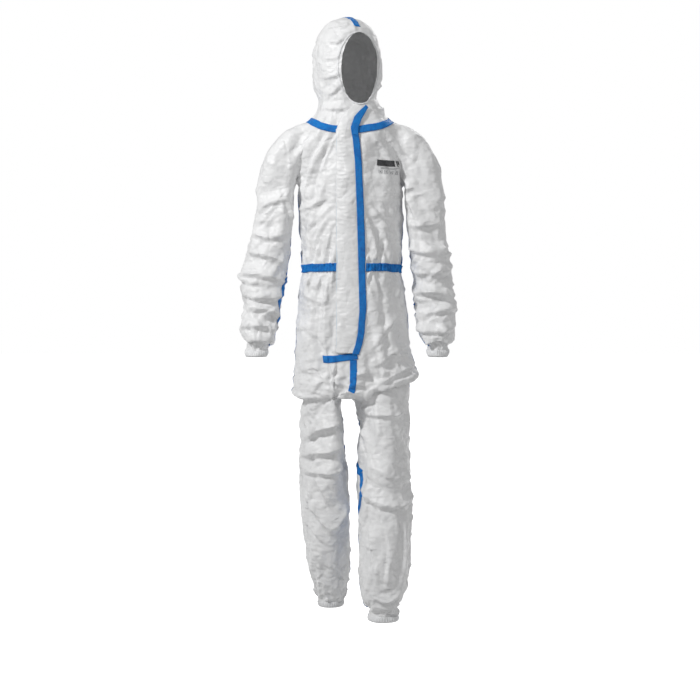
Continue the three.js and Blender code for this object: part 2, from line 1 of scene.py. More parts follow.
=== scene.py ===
"""Looks of a hooded chemical protective coverall in its worn shape.

The suit is sewn up from one draped skin of cloth: tubes for body, hood, sleeves and legs are joined,
draped by cloth simulation over a dress form that is thrown away, refined, creased and cut into its
panels. Tapes, bands, flap, zip and label are then laid on the draped skin. Metres. +Z is up, +X is the
wearer's left, -Y is the front, and the origin is at the centre of the neck.
"""

import logging
import math
from dataclasses import dataclass, field, replace
from enum import Enum
from typing import Callable, Sequence

import bmesh
import bpy
import numpy as np
from mathutils import Matrix, Vector, noise
from mathutils.bvhtree import BVHTree
from mathutils.interpolate import poly_3d_calc


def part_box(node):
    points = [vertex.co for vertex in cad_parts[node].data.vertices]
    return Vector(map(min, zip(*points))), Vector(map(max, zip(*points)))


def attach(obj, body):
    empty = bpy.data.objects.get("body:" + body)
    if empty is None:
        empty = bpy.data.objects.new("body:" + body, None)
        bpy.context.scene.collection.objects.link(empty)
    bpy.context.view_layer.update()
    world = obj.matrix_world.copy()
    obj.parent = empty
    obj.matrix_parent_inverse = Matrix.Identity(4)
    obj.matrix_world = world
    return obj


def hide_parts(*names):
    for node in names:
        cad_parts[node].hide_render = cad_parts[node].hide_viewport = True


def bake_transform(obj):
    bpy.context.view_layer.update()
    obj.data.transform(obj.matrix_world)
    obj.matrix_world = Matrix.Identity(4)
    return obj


Socket = bpy.types.NodeSocket
log = logging.getLogger("coverall")
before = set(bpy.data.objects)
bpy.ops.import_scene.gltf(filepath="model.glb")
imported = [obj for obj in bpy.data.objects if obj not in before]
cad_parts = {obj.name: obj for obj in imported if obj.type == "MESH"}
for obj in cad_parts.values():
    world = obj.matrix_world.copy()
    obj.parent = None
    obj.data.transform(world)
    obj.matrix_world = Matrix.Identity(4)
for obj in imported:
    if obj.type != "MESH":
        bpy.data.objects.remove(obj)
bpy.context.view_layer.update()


class Side(Enum):
    """The wearer's left or right, with its sign along X."""

    LEFT = 1
    RIGHT = -1

    @property
    def label(self) -> str:
        """The side's word in the names of pieces."""
        return self.name.lower()


class Region(Enum):
    """A panel of the suit that is cut from the draped skin."""

    HOOD_LEFT = "hood_left"
    HOOD_RIGHT = "hood_right"
    FRONT_LEFT = "front_left"
    FRONT_RIGHT = "front_right"
    BACK_LEFT = "back_left"
    BACK_RIGHT = "back_right"
    SHOULDER_LEFT = "shoulder_sleeve_left"
    SHOULDER_RIGHT = "shoulder_sleeve_right"
    FOREARM_LEFT = "forearm_sleeve_left"
    FOREARM_RIGHT = "forearm_sleeve_right"
    THIGH_LEFT = "thigh_leg_left"
    THIGH_RIGHT = "thigh_leg_right"
    CALF_LEFT = "calf_leg_left"
    CALF_RIGHT = "calf_leg_right"
    GUSSET = "crotch_gusset_cloth"


@dataclass(frozen=True)
class Section:
    """One level outline of a tube of cloth.

    half is its half width along X, front and back its depths along Y, tilt the rise of its left half per
    metre, and power the exponent of its rounded outline.
    """

    z: float
    x: float
    y: float
    half: float
    front: float
    back: float
    tilt: float = 0.0
    power: float = 2.2

    def point(self, angle: float, grow: float = 0.0) -> Vector:
        """Return the outline's point at an angle.

        Args:
            angle: Zero is +X, and a quarter turn is the back.
            grow: How far the outline is moved outwards.

        Returns:
            The point in the frame of the tube.
        """
        cos, sin = math.cos(angle), math.sin(angle)
        reach = (abs(cos) ** self.power + abs(sin) ** self.power) ** (-1 / self.power)
        depth = self.front if sin < 0 else self.back
        x = cos * reach * (self.half + grow)
        return Vector((self.x + x, self.y + sin * reach * (depth + grow), self.z + self.tilt * max(x, 0.0)))


def spline(sections: Sequence[Section], steps: int) -> list[Section]:
    """Put more sections between the given ones, on a smooth curve.

    Args:
        sections: The outlines that set the shape, from the top down.
        steps: How many sections one stretch becomes.

    Returns:
        The finer list, which still holds the given sections.
    """
    rows = np.array([(s.z, s.x, s.y, s.half, s.front, s.back, s.tilt) for s in sections])
    padded = np.vstack([2 * rows[0] - rows[1], rows, 2 * rows[-1] - rows[-2]])
    out = []
    for i in range(1, len(padded) - 2):
        a, b, c, d = padded[i - 1 : i + 3]
        for k in range(steps):
            t = k / steps
            mix = b + 0.5 * t * (c - a + t * (2 * a - 5 * b + 4 * c - d + t * (3 * (b - c) + d - a)))
            out.append(Section(*mix[:6], tilt=mix[6], power=sections[0].power))
    out.append(sections[-1])
    return out


def loft(bm: bmesh.types.BMesh, sections: Sequence[Section], sides: int, grow: float, turn: Matrix) -> None:
    """Add a closed tube through the sections to a bmesh.

    Args:
        bm: The mesh that the tube is added to.
        sections: The outlines from the top down.
        sides: Points round each outline.
        grow: How far the skin is moved outwards.
        turn: A transform of the whole tube.
    """
    rims = []
    for section in sections:
        circle = bmesh.ops.create_circle(bm, cap_ends=False, radius=1.0, segments=sides)["verts"]
        for vert in circle:
            vert.co = turn @ section.point(math.atan2(vert.co.y, vert.co.x), grow)
        rims.append(list({edge for vert in circle for edge in vert.link_edges}))
    for upper, lower in zip(rims, rims[1:]):
        bmesh.ops.bridge_loops(bm, edges=upper + lower)
    bmesh.ops.contextual_create(bm, geom=rims[0])
    bmesh.ops.contextual_create(bm, geom=rims[-1])


@dataclass(frozen=True)
class Form:
    """The sections of the suit's tubes, as it hangs before the cloth settles."""

    collar_tilt: float = math.radians(17)
    hood_turn: float = math.radians(26)
    hood_shift: float = -0.007
    armpit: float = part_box("upper_sleeve_left")[1][2]
    waist: float = 0.5 * (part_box("waist_tape_back_left")[0][2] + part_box("waist_tape_back_left")[1][2])
    leg_line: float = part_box("front_panel_left")[0][2]
    hem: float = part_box("ankle_elastic_left")[0][2]
    cuff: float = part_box("cuff_elastic_left")[0][2]
    crown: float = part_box("hood_panel_left")[1][2] - 0.012
    between_legs: float = 0.008

    def above_collar(self, y: np.ndarray, z: np.ndarray) -> np.ndarray:
        """Return how far points stand above the tilted plane of the collar seam."""
        return -math.sin(self.collar_tilt) * y + math.cos(self.collar_tilt) * z

    def leg_edge(self, x: np.ndarray) -> np.ndarray:
        """Return the height of the line where the body's cloth hangs over the legs."""
        return self.leg_line + 0.002 + 0.31 * np.maximum(x - 0.012, 0.0)

    def front_line(self, z: float) -> float:
        """Return how far the line of the zip stands in front of the neck's centre at a height."""
        return 0.088 + 0.030 * z / self.leg_line

    def body(self) -> list[Section]:
        """Return the body's sections from the neck down to the leg line."""
        low = self.leg_line
        line = self.front_line
        rows = [
            Section(0.055, 0.004, 0.0, 0.078, 0.078, 0.078),
            Section(0.012, 0.0, 0.0, 0.100, 0.086, 0.086),
            Section(-0.030, 0.0, 0.0, 0.150, line(-0.030), 0.098),
            Section(-0.070, 0.0, 0.0, 0.170, line(-0.070), 0.105),
            Section(self.armpit, 0.0, 0.0, 0.154, line(self.armpit), 0.106),
            Section(-0.200, 0.001, 0.0, 0.150, line(-0.200), 0.105),
            Section(-0.290, 0.001, 0.0, 0.149, line(-0.290), 0.104),
            Section(self.waist, 0.006, 0.0, 0.143, line(self.waist), 0.094),
            Section(-0.480, 0.003, 0.0, 0.156, line(-0.480), 0.104),
            Section(-0.600, 0.005, 0.0, 0.167, line(-0.600), 0.114),
            Section(low + 0.070, 0.010, 0.0, 0.176, line(low + 0.07), 0.118, tilt=0.14),
            Section(low + 0.020, 0.011, 0.0, 0.181, 0.117, 0.118, tilt=0.27),
            Section(low + 0.006, 0.010, 0.0, 0.174, 0.110, 0.112, tilt=0.30),
        ]
        return spline(rows, 3)

    def hood(self) -> list[Section]:
        """Return the hood's sections in its own frame, which looks along -Y."""
        top = self.crown
        rows = [
            Section(top - 0.004, 0.0, 0.004, 0.018, 0.020, 0.026),
            Section(top - 0.012, 0.0, 0.004, 0.044, 0.046, 0.056),
            Section(top - 0.032, 0.0, 0.002, 0.068, 0.070, 0.086),
            Section(top - 0.072, 0.0, 0.0, 0.088, 0.088, 0.110),
            Section(top - 0.140, 0.0, 0.0, 0.096, 0.092, 0.119),
            Section(top - 0.200, 0.0, 0.0, 0.090, 0.087, 0.108),
            Section(0.062, 0.0, 0.0, 0.076, 0.078, 0.086),
            Section(0.020, 0.0, 0.0, 0.086, 0.080, 0.084),
        ]
        return spline(rows, 3)

    def sleeve(self, side: Side) -> list[Section]:
        """List a sleeve's sections.

        Args:
            side: Whose sleeve it is.

        Returns:
            The sections from the shoulder down to beyond the cuff.
        """
        s, out = side.value, self.cuff
        upper = [
            Section(-0.018, s * 0.124, 0.0, 0.044, 0.044, 0.048),
            Section(-0.042, s * 0.146, 0.0, 0.062, 0.056, 0.060),
            Section(-0.074, s * 0.168, 0.0, 0.068, 0.062, 0.066),
            Section(-0.108, s * 0.188, 0.0, 0.066, 0.063, 0.067),
            Section(self.armpit, s * 0.2165, 0.002, 0.0505, 0.063, 0.066),
        ]
        if side is Side.LEFT:
            lower = [
                Section(-0.200, s * 0.2235, 0.004, 0.0505, 0.062, 0.064),
                Section(-0.250, s * 0.2245, 0.006, 0.0505, 0.062, 0.062),
                Section(-0.340, s * 0.231, 0.008, 0.053, 0.063, 0.063),
                Section(-0.430, s * 0.239, 0.006, 0.0545, 0.064, 0.064),
                Section(-0.510, s * 0.247, -0.002, 0.057, 0.063, 0.063),
                Section(out + 0.095, s * 0.245, -0.014, 0.053, 0.057, 0.057),
                Section(out + 0.055, s * 0.246, -0.023, 0.043, 0.047, 0.047),
            ]
            wrist = 0.248
        else:
            lower = [
                Section(-0.250, s * 0.222, 0.006, 0.052, 0.062, 0.062),
                Section(-0.340, s * 0.236, 0.008, 0.059, 0.063, 0.063),
                Section(-0.430, s * 0.248, 0.006, 0.066, 0.065, 0.065),
                Section(-0.505, s * 0.250, -0.002, 0.054, 0.060, 0.060),
                Section(out + 0.090, s * 0.258, -0.015, 0.053, 0.056, 0.056),
                Section(out + 0.052, s * 0.256, -0.024, 0.044, 0.048, 0.048),
            ]
            wrist = 0.263
        hand = [
            Section(out + 0.026, s * wrist, -0.028, 0.032, 0.034, 0.034),
            Section(out - 0.020, s * (wrist + 0.001), -0.032, 0.030, 0.031, 0.031),
        ]
        return spline(upper + lower + hand, 2)

    def leg(self, side: Side) -> list[Section]:
        """List a leg's sections.

        Args:
            side: Whose leg it is.

        Returns:
            The sections from inside the body down to beyond the ankle hem.
        """
        top, low = self.leg_line, self.hem
        stride = -0.096 * side.value

        def fall(z: float) -> float:
            """Return how far the leg's middle has moved along Y at a height."""
            return stride * (top - z) / (top - low)

        if side is Side.LEFT:
            rows = [
                (top + 0.090, 0.095, 0.076, 0.088),
                (top - 0.020, 0.098, 0.080, 0.094),
                (top - 0.110, 0.098, 0.080, 0.092),
                (top - 0.200, 0.098, 0.084, 0.090),
                (top - 0.300, 0.099, 0.085, 0.088),
                (top - 0.410, 0.096, 0.081, 0.082),
                (top - 0.505, 0.090, 0.071, 0.076),
                (low + 0.062, 0.090, 0.060, 0.068),
                (low + 0.028, 0.092, 0.047, 0.053),
                (low + 0.010, 0.093, 0.041, 0.045),
                (low - 0.030, 0.094, 0.041, 0.045),
            ]
        else:
            rows = [
                (top + 0.090, -0.080, 0.074, 0.088),
                (top - 0.020, -0.080, 0.070, 0.092),
                (top - 0.110, -0.077, 0.073, 0.090),
                (top - 0.200, -0.074, 0.076, 0.088),
                (top - 0.300, -0.073, 0.075, 0.086),
                (top - 0.410, -0.067, 0.070, 0.080),
                (top - 0.505, -0.062, 0.063, 0.070),
                (low + 0.062, -0.061, 0.050, 0.060),
                (low + 0.028, -0.057, 0.042, 0.048),
                (low + 0.010, -0.055, 0.037, 0.041),
                (low - 0.030, -0.054, 0.037, 0.041),
            ]
        return spline([Section(z, x, fall(z), half, deep, deep) for z, x, half, deep in rows], 3)

    @staticmethod
    def at_height(sections: Sequence[Section], z: float) -> Section:
        """Find the outline of a tube at a height between its sections.

        Args:
            sections: The tube's outlines from the top down.
            z: The height.

        Returns:
            The outline there.
        """
        rows = np.array([(s.x, s.y, s.half, s.front, s.back, s.tilt) for s in reversed(sections)])
        heights = [s.z for s in reversed(sections)]
        x, y, half, front, back, tilt = (float(np.interp(z, heights, column)) for column in rows.T)
        return Section(z, x, y, half, front, back, tilt, sections[0].power)

    def tubes(self) -> list[tuple[str, list[Section], Matrix]]:
        """Return every tube with its name and its transform."""
        still = Matrix.Identity(4)
        hood = Matrix.Translation((self.hood_shift, 0, 0)) @ Matrix.Rotation(self.hood_turn, 4, "Z")
        out = [("body", self.body(), still), ("hood", self.hood(), hood)]
        for side in Side:
            out.append(("sleeve", self.sleeve(side), still))
            out.append(("leg", self.leg(side), still))
        return out


# ---- Meshes ------------------------------------------------------------------------------------
def new_object(name: str, bm: bmesh.types.BMesh) -> bpy.types.Object:
    """Turn a bmesh into an object in the scene, at the origin.

    Args:
        name: The object's name.
        bm: The mesh. It is freed.

    Returns:
        The new object.
    """
    mesh = bpy.data.meshes.new(name)
    bm.to_mesh(mesh)
    bm.free()
    obj = bpy.data.objects.new(name, mesh)
    bpy.context.scene.collection.objects.link(obj)
    return obj


def bake_modifiers(obj: bpy.types.Object) -> None:
    """Replace an object's mesh by its mesh with every modifier applied.

    Args:
        obj: The object, which loses its modifiers.
    """
    bpy.context.view_layer.update()
    graph = bpy.context.evaluated_depsgraph_get()
    baked = bpy.data.meshes.new_from_object(obj.evaluated_get(graph), depsgraph=graph)
    old = obj.data
    obj.modifiers.clear()
    obj.data = baked
    bpy.data.meshes.remove(old)


def coords(mesh: bpy.types.Mesh) -> np.ndarray:
    """Return a mesh's points as rows of an array."""
    out = np.empty(len(mesh.vertices) * 3)
    mesh.vertices.foreach_get("co", out)
    return out.reshape(-1, 3)


def smoothstep(low: float, high: float, value: np.ndarray) -> np.ndarray:
    """Rise smoothly from 0 at low to 1 at high."""
    t = np.clip((value - low) / (high - low), 0.0, 1.0)
    return t * t * (3.0 - 2.0 * t)


def carried(points: np.ndarray, by: Matrix) -> np.ndarray:
    """Return rows of points moved by a transform."""
    turn = np.array(by)
    return points @ turn[:3, :3].T + turn[:3, 3]


# ---- Folds pressed into the cloth -----------------------------------------------------------------
@dataclass(frozen=True)
class Fold:
    """A crease along a bent line on a tube's unrolled surface.

    Each spot of the line is an angle in degrees from the tube's front middle, positive to the wearer's
    left, and a height z. height is how far the ridge stands out, and width how far it reaches.
    """

    line: tuple[tuple[float, float], ...]
    height: float
    width: float
    lean: float = 0.45


@dataclass(frozen=True)
class Scatter:
    """A run of small random folds on one tube, between two heights and two angles."""

    tube: str
    count: int
    low: float
    high: float
    turn: tuple[float, float] = (-180.0, 180.0)
    slope: float = 0.0
    spread: float = 35.0
    length: tuple[float, float] = (0.03, 0.09)
    height: tuple[float, float] = (0.0018, 0.0042)
    width: tuple[float, float] = (0.008, 0.015)
    seed: int = 1


@dataclass
class Tube:
    """One tube's unrolled surface, with a weight for how far each point belongs to it."""

    sections: list[Section]
    weight: np.ndarray
    points: np.ndarray
    across: np.ndarray = field(init=False)
    radius: np.ndarray = field(init=False)

    def __post_init__(self) -> None:
        """Unroll the points round the tube's middle line."""
        rows = np.array([(s.z, s.x, s.y, 0.5 * s.half + 0.25 * (s.front + s.back)) for s in self.sections])
        rows = rows[::-1]
        z = self.points[:, 2]
        x, y, self.radius = (np.interp(z, rows[:, 0], column) for column in rows[:, 1:].T)
        self.across = np.arctan2(self.points[:, 0] - x, -(self.points[:, 1] - y))

    def press(self, fold: Fold) -> np.ndarray:
        """Press one fold into the cloth.

        Args:
            fold: The fold.

        Returns:
            How far it lifts each point.
        """
        line = np.array(fold.line)
        t = np.linspace(0.0, 1.0, 9)
        if len(line) == 2:
            line = np.vstack([line[0], line.mean(axis=0), line[1]])
        bend = ((1 - t) ** 2)[:, None] * line[0] + (2 * t * (1 - t))[:, None] * line[1] + (t**2)[:, None] * line[2]
        reach = 2.4 * fold.width
        z = self.points[:, 2]
        out = np.zeros(len(z))
        near = np.nonzero((z > bend[:, 1].min() - reach) & (z < bend[:, 1].max() + reach) & (self.weight > 0.01))[0]
        if not len(near):
            return out
        middle = math.radians(bend[4, 0])
        delta = (self.across[near] - middle + math.pi) % (2 * math.pi) - math.pi
        u, v, radius = delta * self.radius[near], z[near], self.radius[near]
        best = np.full(len(near), 9.0)
        side = np.zeros(len(near))
        along = np.zeros(len(near))
        for k in range(8):
            a, b = (
                np.stack([(math.radians(turn) - middle) * radius, np.full(len(near), height)], axis=1)
                for turn, height in bend[k : k + 2]
            )
            step = b - a
            size = np.maximum((step * step).sum(axis=1), 1e-12)
            off = np.stack([u, v], axis=1) - a
            s = np.clip((off * step).sum(axis=1) / size, 0, 1)
            gap = off - s[:, None] * step
            far = np.hypot(gap[:, 0], gap[:, 1])
            closer = far < best
            best = np.where(closer, far, best)
            side = np.where(closer, np.sign(step[:, 0] * off[:, 1] - step[:, 1] * off[:, 0]), side)
            along = np.where(closer, (k + s) / 8, along)
        width = fold.width * np.where(side > 0, 1 + fold.lean, 1 - fold.lean)
        ridge = np.maximum(0.0, 1 - best / width) ** 1.5
        valley = 0.35 * np.exp(-(((best / width) - 1.25) ** 2) / 0.12)
        taper = np.sin(math.pi * np.clip(along, 0.02, 0.98)) ** 0.6
        out[near] = fold.height * (ridge - valley) * taper * self.weight[near]
        return out


def scattered(run: Scatter) -> list[Fold]:
    """Draw the folds of a run, always the same ones for the same run.

    Args:
        run: Where the folds lie and how large they are.

    Returns:
        The folds.
    """
    pick = np.random.default_rng(run.seed)
    out = []
    for _ in range(run.count):
        angle = pick.uniform(*run.turn)
        z = pick.uniform(run.low, run.high)
        tilt = math.radians(run.slope + pick.normal(0.0, run.spread))
        if pick.uniform() < 0.5:
            tilt = -tilt
        half = 0.5 * pick.uniform(*run.length)
        wide = math.degrees(half * math.cos(tilt) / 0.075)
        rise = half * math.sin(tilt)
        bow = pick.normal(0.0, 0.25) * half
        line = ((angle - wide, z - rise), (angle + math.degrees(bow / 0.075), z + bow), (angle + wide, z + rise))
        out.append(Fold(line, pick.uniform(*run.height), pick.uniform(*run.width), pick.uniform(-0.5, 0.5)))
    return out


FRONT_FOLDS = {
    "body": [
        Fold(((-30, -0.035), (-62, -0.110), (-70, -0.235)), 0.0094, 0.0180),
        Fold(((-42, -0.030), (-78, -0.085), (-84, -0.185)), 0.0081, 0.0160),
        Fold(((-22, -0.045), (-44, -0.110), (-52, -0.200)), 0.0056, 0.0140),
        Fold(((-88, -0.235), (-62, -0.262), (-38, -0.215)), 0.0063, 0.0130),
        Fold(((-70, -0.300), (-46, -0.285), (-24, -0.225)), 0.0056, 0.0140),
        Fold(((-62, -0.398), (-58, -0.330), (-34, -0.275)), 0.0069, 0.0140),
        Fold(((-40, -0.396), (-38, -0.345), (-28, -0.300)), 0.0056, 0.0110),
        Fold(((34, -0.040), (60, -0.100), (76, -0.200)), 0.0075, 0.0170),
        Fold(((48, -0.036), (74, -0.080), (90, -0.160)), 0.0069, 0.0150),
        Fold(((84, -0.215), (62, -0.235), (40, -0.180)), 0.0056, 0.0130),
        Fold(((70, -0.330), (52, -0.290), (30, -0.235)), 0.0056, 0.0140),
        Fold(((38, -0.396), (36, -0.340), (30, -0.280)), 0.0063, 0.0120),
        Fold(((58, -0.396), (62, -0.350), (50, -0.300)), 0.0056, 0.0110),
        Fold(((-78, -0.470), (-48, -0.520), (-26, -0.500)), 0.0056, 0.0150),
        Fold(((-74, -0.560), (-50, -0.600), (-30, -0.640)), 0.0050, 0.0150),
        Fold(((24, -0.640), (46, -0.590), (74, -0.520)), 0.0056, 0.0150),
        Fold(((24, -0.700), (50, -0.650), (84, -0.610)), 0.0063, 0.0160),
        Fold(((30, -0.745), (56, -0.690), (96, -0.672)), 0.0088, 0.0150),
        Fold(((46, -0.752), (70, -0.715), (104, -0.700)), 0.0088, 0.0130),
        Fold(((-60, -0.765), (-48, -0.700), (-36, -0.735)), 0.0056, 0.0130),
        Fold(((-34, -0.740), (-26, -0.705), (-14, -0.760)), 0.0050, 0.0120),
    ],
    "hood": [
        Fold(((-62, 0.215), (-40, 0.195), (-26, 0.230)), 0.0063, 0.0120),
        Fold(((-78, 0.165), (-48, 0.150), (-28, 0.185)), 0.0069, 0.0130),
        Fold(((-84, 0.110), (-52, 0.105), (-30, 0.130)), 0.0069, 0.0120),
        Fold(((-70, 0.060), (-48, 0.078), (-30, 0.100)), 0.0063, 0.0120),
        Fold(((-88, 0.030), (-50, 0.020), (-16, 0.034)), 0.0075, 0.0120),
        Fold(((-60, 0.255), (-38, 0.238), (-26, 0.262)), 0.0050, 0.0110),
        Fold(((80, 0.110), (52, 0.090), (32, 0.070)), 0.0056, 0.0120),
        Fold(((84, 0.040), (52, 0.030), (22, 0.020)), 0.0063, 0.0120),
    ],
    "sleeve_right": [
        Fold(((-70, -0.300), (-10, -0.335), (50, -0.300)), 0.0109, 0.0184),
        Fold(((-80, -0.360), (-20, -0.350), (64, -0.395)), 0.0130, 0.0196),
        Fold(((-96, -0.425), (-30, -0.405), (60, -0.440)), 0.0130, 0.0184),
        Fold(((-80, -0.470), (0, -0.500), (80, -0.470)), 0.0123, 0.0172),
        Fold(((-60, -0.520), (10, -0.500), (86, -0.545)), 0.0116, 0.0161),
        Fold(((-84, -0.575), (-10, -0.545), (70, -0.580)), 0.0116, 0.0149),
        Fold(((-50, -0.610), (20, -0.590), (90, -0.612)), 0.0094, 0.0126),
        Fold(((-60, -0.250), (-20, -0.200), (40, -0.215)), 0.0072, 0.0184),
        Fold(((20, -0.180), (44, -0.240), (60, -0.290)), 0.0087, 0.0161),
    ],
    "sleeve_left": [
        Fold(((-60, -0.270), (0, -0.300), (60, -0.265)), 0.0094, 0.0184),
        Fold(((-76, -0.330), (-10, -0.375), (70, -0.350)), 0.0123, 0.0196),
        Fold(((-70, -0.400), (10, -0.430), (90, -0.400)), 0.0130, 0.0184),
        Fold(((-84, -0.470), (0, -0.450), (80, -0.505)), 0.0138, 0.0184),
        Fold(((-60, -0.540), (20, -0.500), (96, -0.520)), 0.0123, 0.0161),
        Fold(((-80, -0.570), (0, -0.590), (70, -0.560)), 0.0116, 0.0149),
        Fold(((-70, -0.612), (-10, -0.598), (60, -0.616)), 0.0094, 0.0126),
        Fold(((-60, -0.190), (-30, -0.240), (-10, -0.300)), 0.0087, 0.0161),
    ],
    "leg_right": [
        Fold(((-70, -0.900), (-10, -0.875), (60, -0.820)), 0.0123, 0.0253),
        Fold(((-80, -0.940), (-20, -0.960), (64, -0.880)), 0.0138, 0.0230),
        Fold(((-70, -0.985), (-10, -1.010), (50, -0.960)), 0.0123, 0.0207),
        Fold(((-60, -1.060), (-20, -1.100), (10, -1.165)), 0.0123, 0.0230),
        Fold(((0, -1.160), (40, -1.120), (76, -1.020)), 0.0145, 0.0276),
        Fold(((-76, -1.120), (-40, -1.160), (-10, -1.190)), 0.0094, 0.0172),
        Fold(((-50, -1.020), (-34, -1.075), (-26, -1.140)), 0.0080, 0.0138),
        Fold(((-30, -1.000), (-8, -1.040), (6, -1.100)), 0.0080, 0.0138),
    ],
    "leg_left": [
        Fold(((-70, -0.830), (-36, -0.900), (-30, -0.985)), 0.0087, 0.0230),
        Fold(((-76, -1.000), (0, -1.095), (80, -1.040)), 0.0130, 0.0230),
        Fold(((-30, -0.945), (20, -1.010), (76, -0.985)), 0.0087, 0.0207),
        Fold(((-50, -0.800), (0, -0.830), (60, -0.800)), 0.0087, 0.0172),
        Fold(((-40, -1.110), (-20, -1.180), (-12, -1.270)), 0.0080, 0.0161),
        Fold(((0, -1.110), (14, -1.190), (6, -1.290)), 0.0094, 0.0149),
        Fold(((40, -1.110), (50, -1.190), (40, -1.280)), 0.0072, 0.0161),
        Fold(((-30, -1.300), (6, -1.345), (44, -1.290)), 0.0087, 0.0138),
    ],
}

SCATTERED = [
    Scatter("body", 70, -0.385, -0.060, spread=40.0, height=(0.0012, 0.0030), seed=11),
    Scatter("body", 60, -0.740, -0.440, spread=45.0, height=(0.0012, 0.0032), seed=12),
    Scatter("body", 64, -0.400, -0.345, slope=84.0, spread=9.0, length=(0.035, 0.080), height=(0.0025, 0.0050),
            width=(0.007, 0.012), seed=13),
    Scatter("body", 64, -0.480, -0.425, slope=84.0, spread=9.0, length=(0.035, 0.085), height=(0.0025, 0.0050),
            width=(0.007, 0.012), seed=14),
    Scatter("body", 30, -0.780, -0.690, slope=20.0, spread=30.0, height=(0.0030, 0.0055), seed=15),
    Scatter("hood", 60, 0.020, 0.280, spread=45.0, length=(0.02, 0.06), height=(0.0014, 0.0034), seed=21),
    Scatter("sleeve_left", 40, -0.340, -0.110, slope=35.0, spread=30.0, height=(0.0016, 0.0038), seed=31),
    Scatter("sleeve_right", 40, -0.340, -0.110, slope=35.0, spread=30.0, height=(0.0016, 0.0038), seed=32),
    Scatter("sleeve_left", 60, -0.560, -0.330, slope=12.0, spread=28.0, length=(0.04, 0.10),
            height=(0.0030, 0.0065), seed=33),
    Scatter("sleeve_right", 60, -0.560, -0.330, slope=12.0, spread=28.0, length=(0.04, 0.10),
            height=(0.0030, 0.0065), seed=34),
    Scatter("sleeve_left", 46, -0.635, -0.545, slope=55.0, spread=30.0, length=(0.02, 0.05),
            height=(0.0028, 0.0055), width=(0.007, 0.011), seed=35),
    Scatter("sleeve_right", 46, -0.635, -0.545, slope=55.0, spread=30.0, length=(0.02, 0.05),
            height=(0.0028, 0.0055), width=(0.007, 0.011), seed=36),
    Scatter("leg_left", 60, -1.060, -0.790, slope=25.0, spread=35.0, height=(0.0014, 0.0034), seed=41),
    Scatter("leg_right", 60, -1.060, -0.790, slope=25.0, spread=30.0, height=(0.0018, 0.0042), seed=42),
    Scatter("leg_left", 90, -1.380, -1.060, slope=60.0, spread=40.0, length=(0.02, 0.06),
            height=(0.0014, 0.0036), width=(0.007, 0.012), seed=43),
    Scatter("leg_right", 110, -1.380, -1.140, slope=15.0, spread=35.0, length=(0.02, 0.06),
            height=(0.0016, 0.0038), width=(0.007, 0.011), seed=44),
    Scatter("leg_left", 44, -1.415, -1.330, slope=60.0, spread=30.0, length=(0.02, 0.05),
            height=(0.0026, 0.0050), width=(0.007, 0.011), seed=45),
    Scatter("leg_right", 44, -1.415, -1.330, slope=60.0, spread=30.0, length=(0.02, 0.05),
            height=(0.0026, 0.0050), width=(0.007, 0.011), seed=46),
]


@dataclass
class Creaser:
    """Presses folds into the settled skin, tube by tube."""

    form: Form
    points: np.ndarray
    into_hood: Matrix

    def tubes(self) -> dict[str, Tube]:
        """Return every tube's unrolled surface."""
        x, y, z = self.points.T
        near = smoothstep(-0.012, 0.012, self.form.above_collar(y, z)) * (np.abs(x) < 0.16)
        arm = smoothstep(0.150, 0.176, np.abs(x)) * (z > self.form.cuff - 0.01) * (z > -0.70)
        hips = smoothstep(0.172, 0.190, np.abs(x))
        arm = np.where(z < -0.44, arm * hips, arm) * (1 - near)
        leg = 1 - smoothstep(-0.012, 0.004, z - self.form.leg_edge(x))
        out = {"hood": Tube(self.form.hood(), near, carried(self.points, self.into_hood))}
        out["body"] = Tube(self.form.body(), (1 - near) * (1 - arm) * (1 - leg), self.points)
        for side in Side:
            mine = (x * side.value > 0).astype(float)
            out[f"sleeve_{side.label}"] = Tube(self.form.sleeve(side), arm * (1 - leg) * mine, self.points)
            beside = ((x - self.form.between_legs) * side.value > 0).astype(float)
            out[f"leg_{side.label}"] = Tube(self.form.leg(side), leg * beside, self.points)
        return out

    def lift(self) -> np.ndarray:
        """Return how far the folds move each point outwards."""
        tubes = self.tubes()
        out = np.zeros(len(self.points))
        for name, folds in FRONT_FOLDS.items():
            for fold in folds:
                out += tubes[name].press(fold)
        for run in SCATTERED:
            for fold in scattered(run):
                out += tubes[run.tube].press(fold)
        return out

    def overhang(self) -> np.ndarray:
        """Return how the body's bottom edge stands out over the legs, as an outward move of each point."""
        x, y, z = self.points.T
        above = z - self.form.leg_edge(x)
        crotch = (np.abs(x - self.form.between_legs) <= 0.030) & (np.abs(y) <= 0.06)
        trunk = (np.abs(x) < 0.20) & ~crotch
        wavy = 1 + 0.35 * np.sin(x * 47.0 + 1.3) * np.cos(x * 21.0)
        out = np.where(above > 0, np.exp(-above / 0.030), -0.9 * np.exp(above / 0.016))
        return np.where(trunk & (np.abs(above) < 0.12), 0.0085 * out * wavy, 0.0)


# ---- The draped skin ---------------------------------------------------------------------------
@dataclass
class Opening:
    """The oval opening for the face, in the frame of the hood."""

    half: float = 0.056
    low: float = 0.042
    high: float = 0.237
    front: float = -0.02

    def across(self, points: np.ndarray, into_hood: Matrix) -> np.ndarray:
        """Measure how far points are from the oval's middle.

        Args:
            points: Rows of points in the frame of the suit.
            into_hood: The transform from the suit's frame to the hood's.

        Returns:
            A share for each point, with 1 on the oval's edge.
        """
        local = carried(points, into_hood)
        u = local[:, 0] / self.half
        v = (local[:, 2] - 0.5 * (self.low + self.high)) / (0.5 * (self.high - self.low))
        out = np.sqrt(u * u + v * v)
        out[local[:, 1] > self.front] = 9.0
        return out


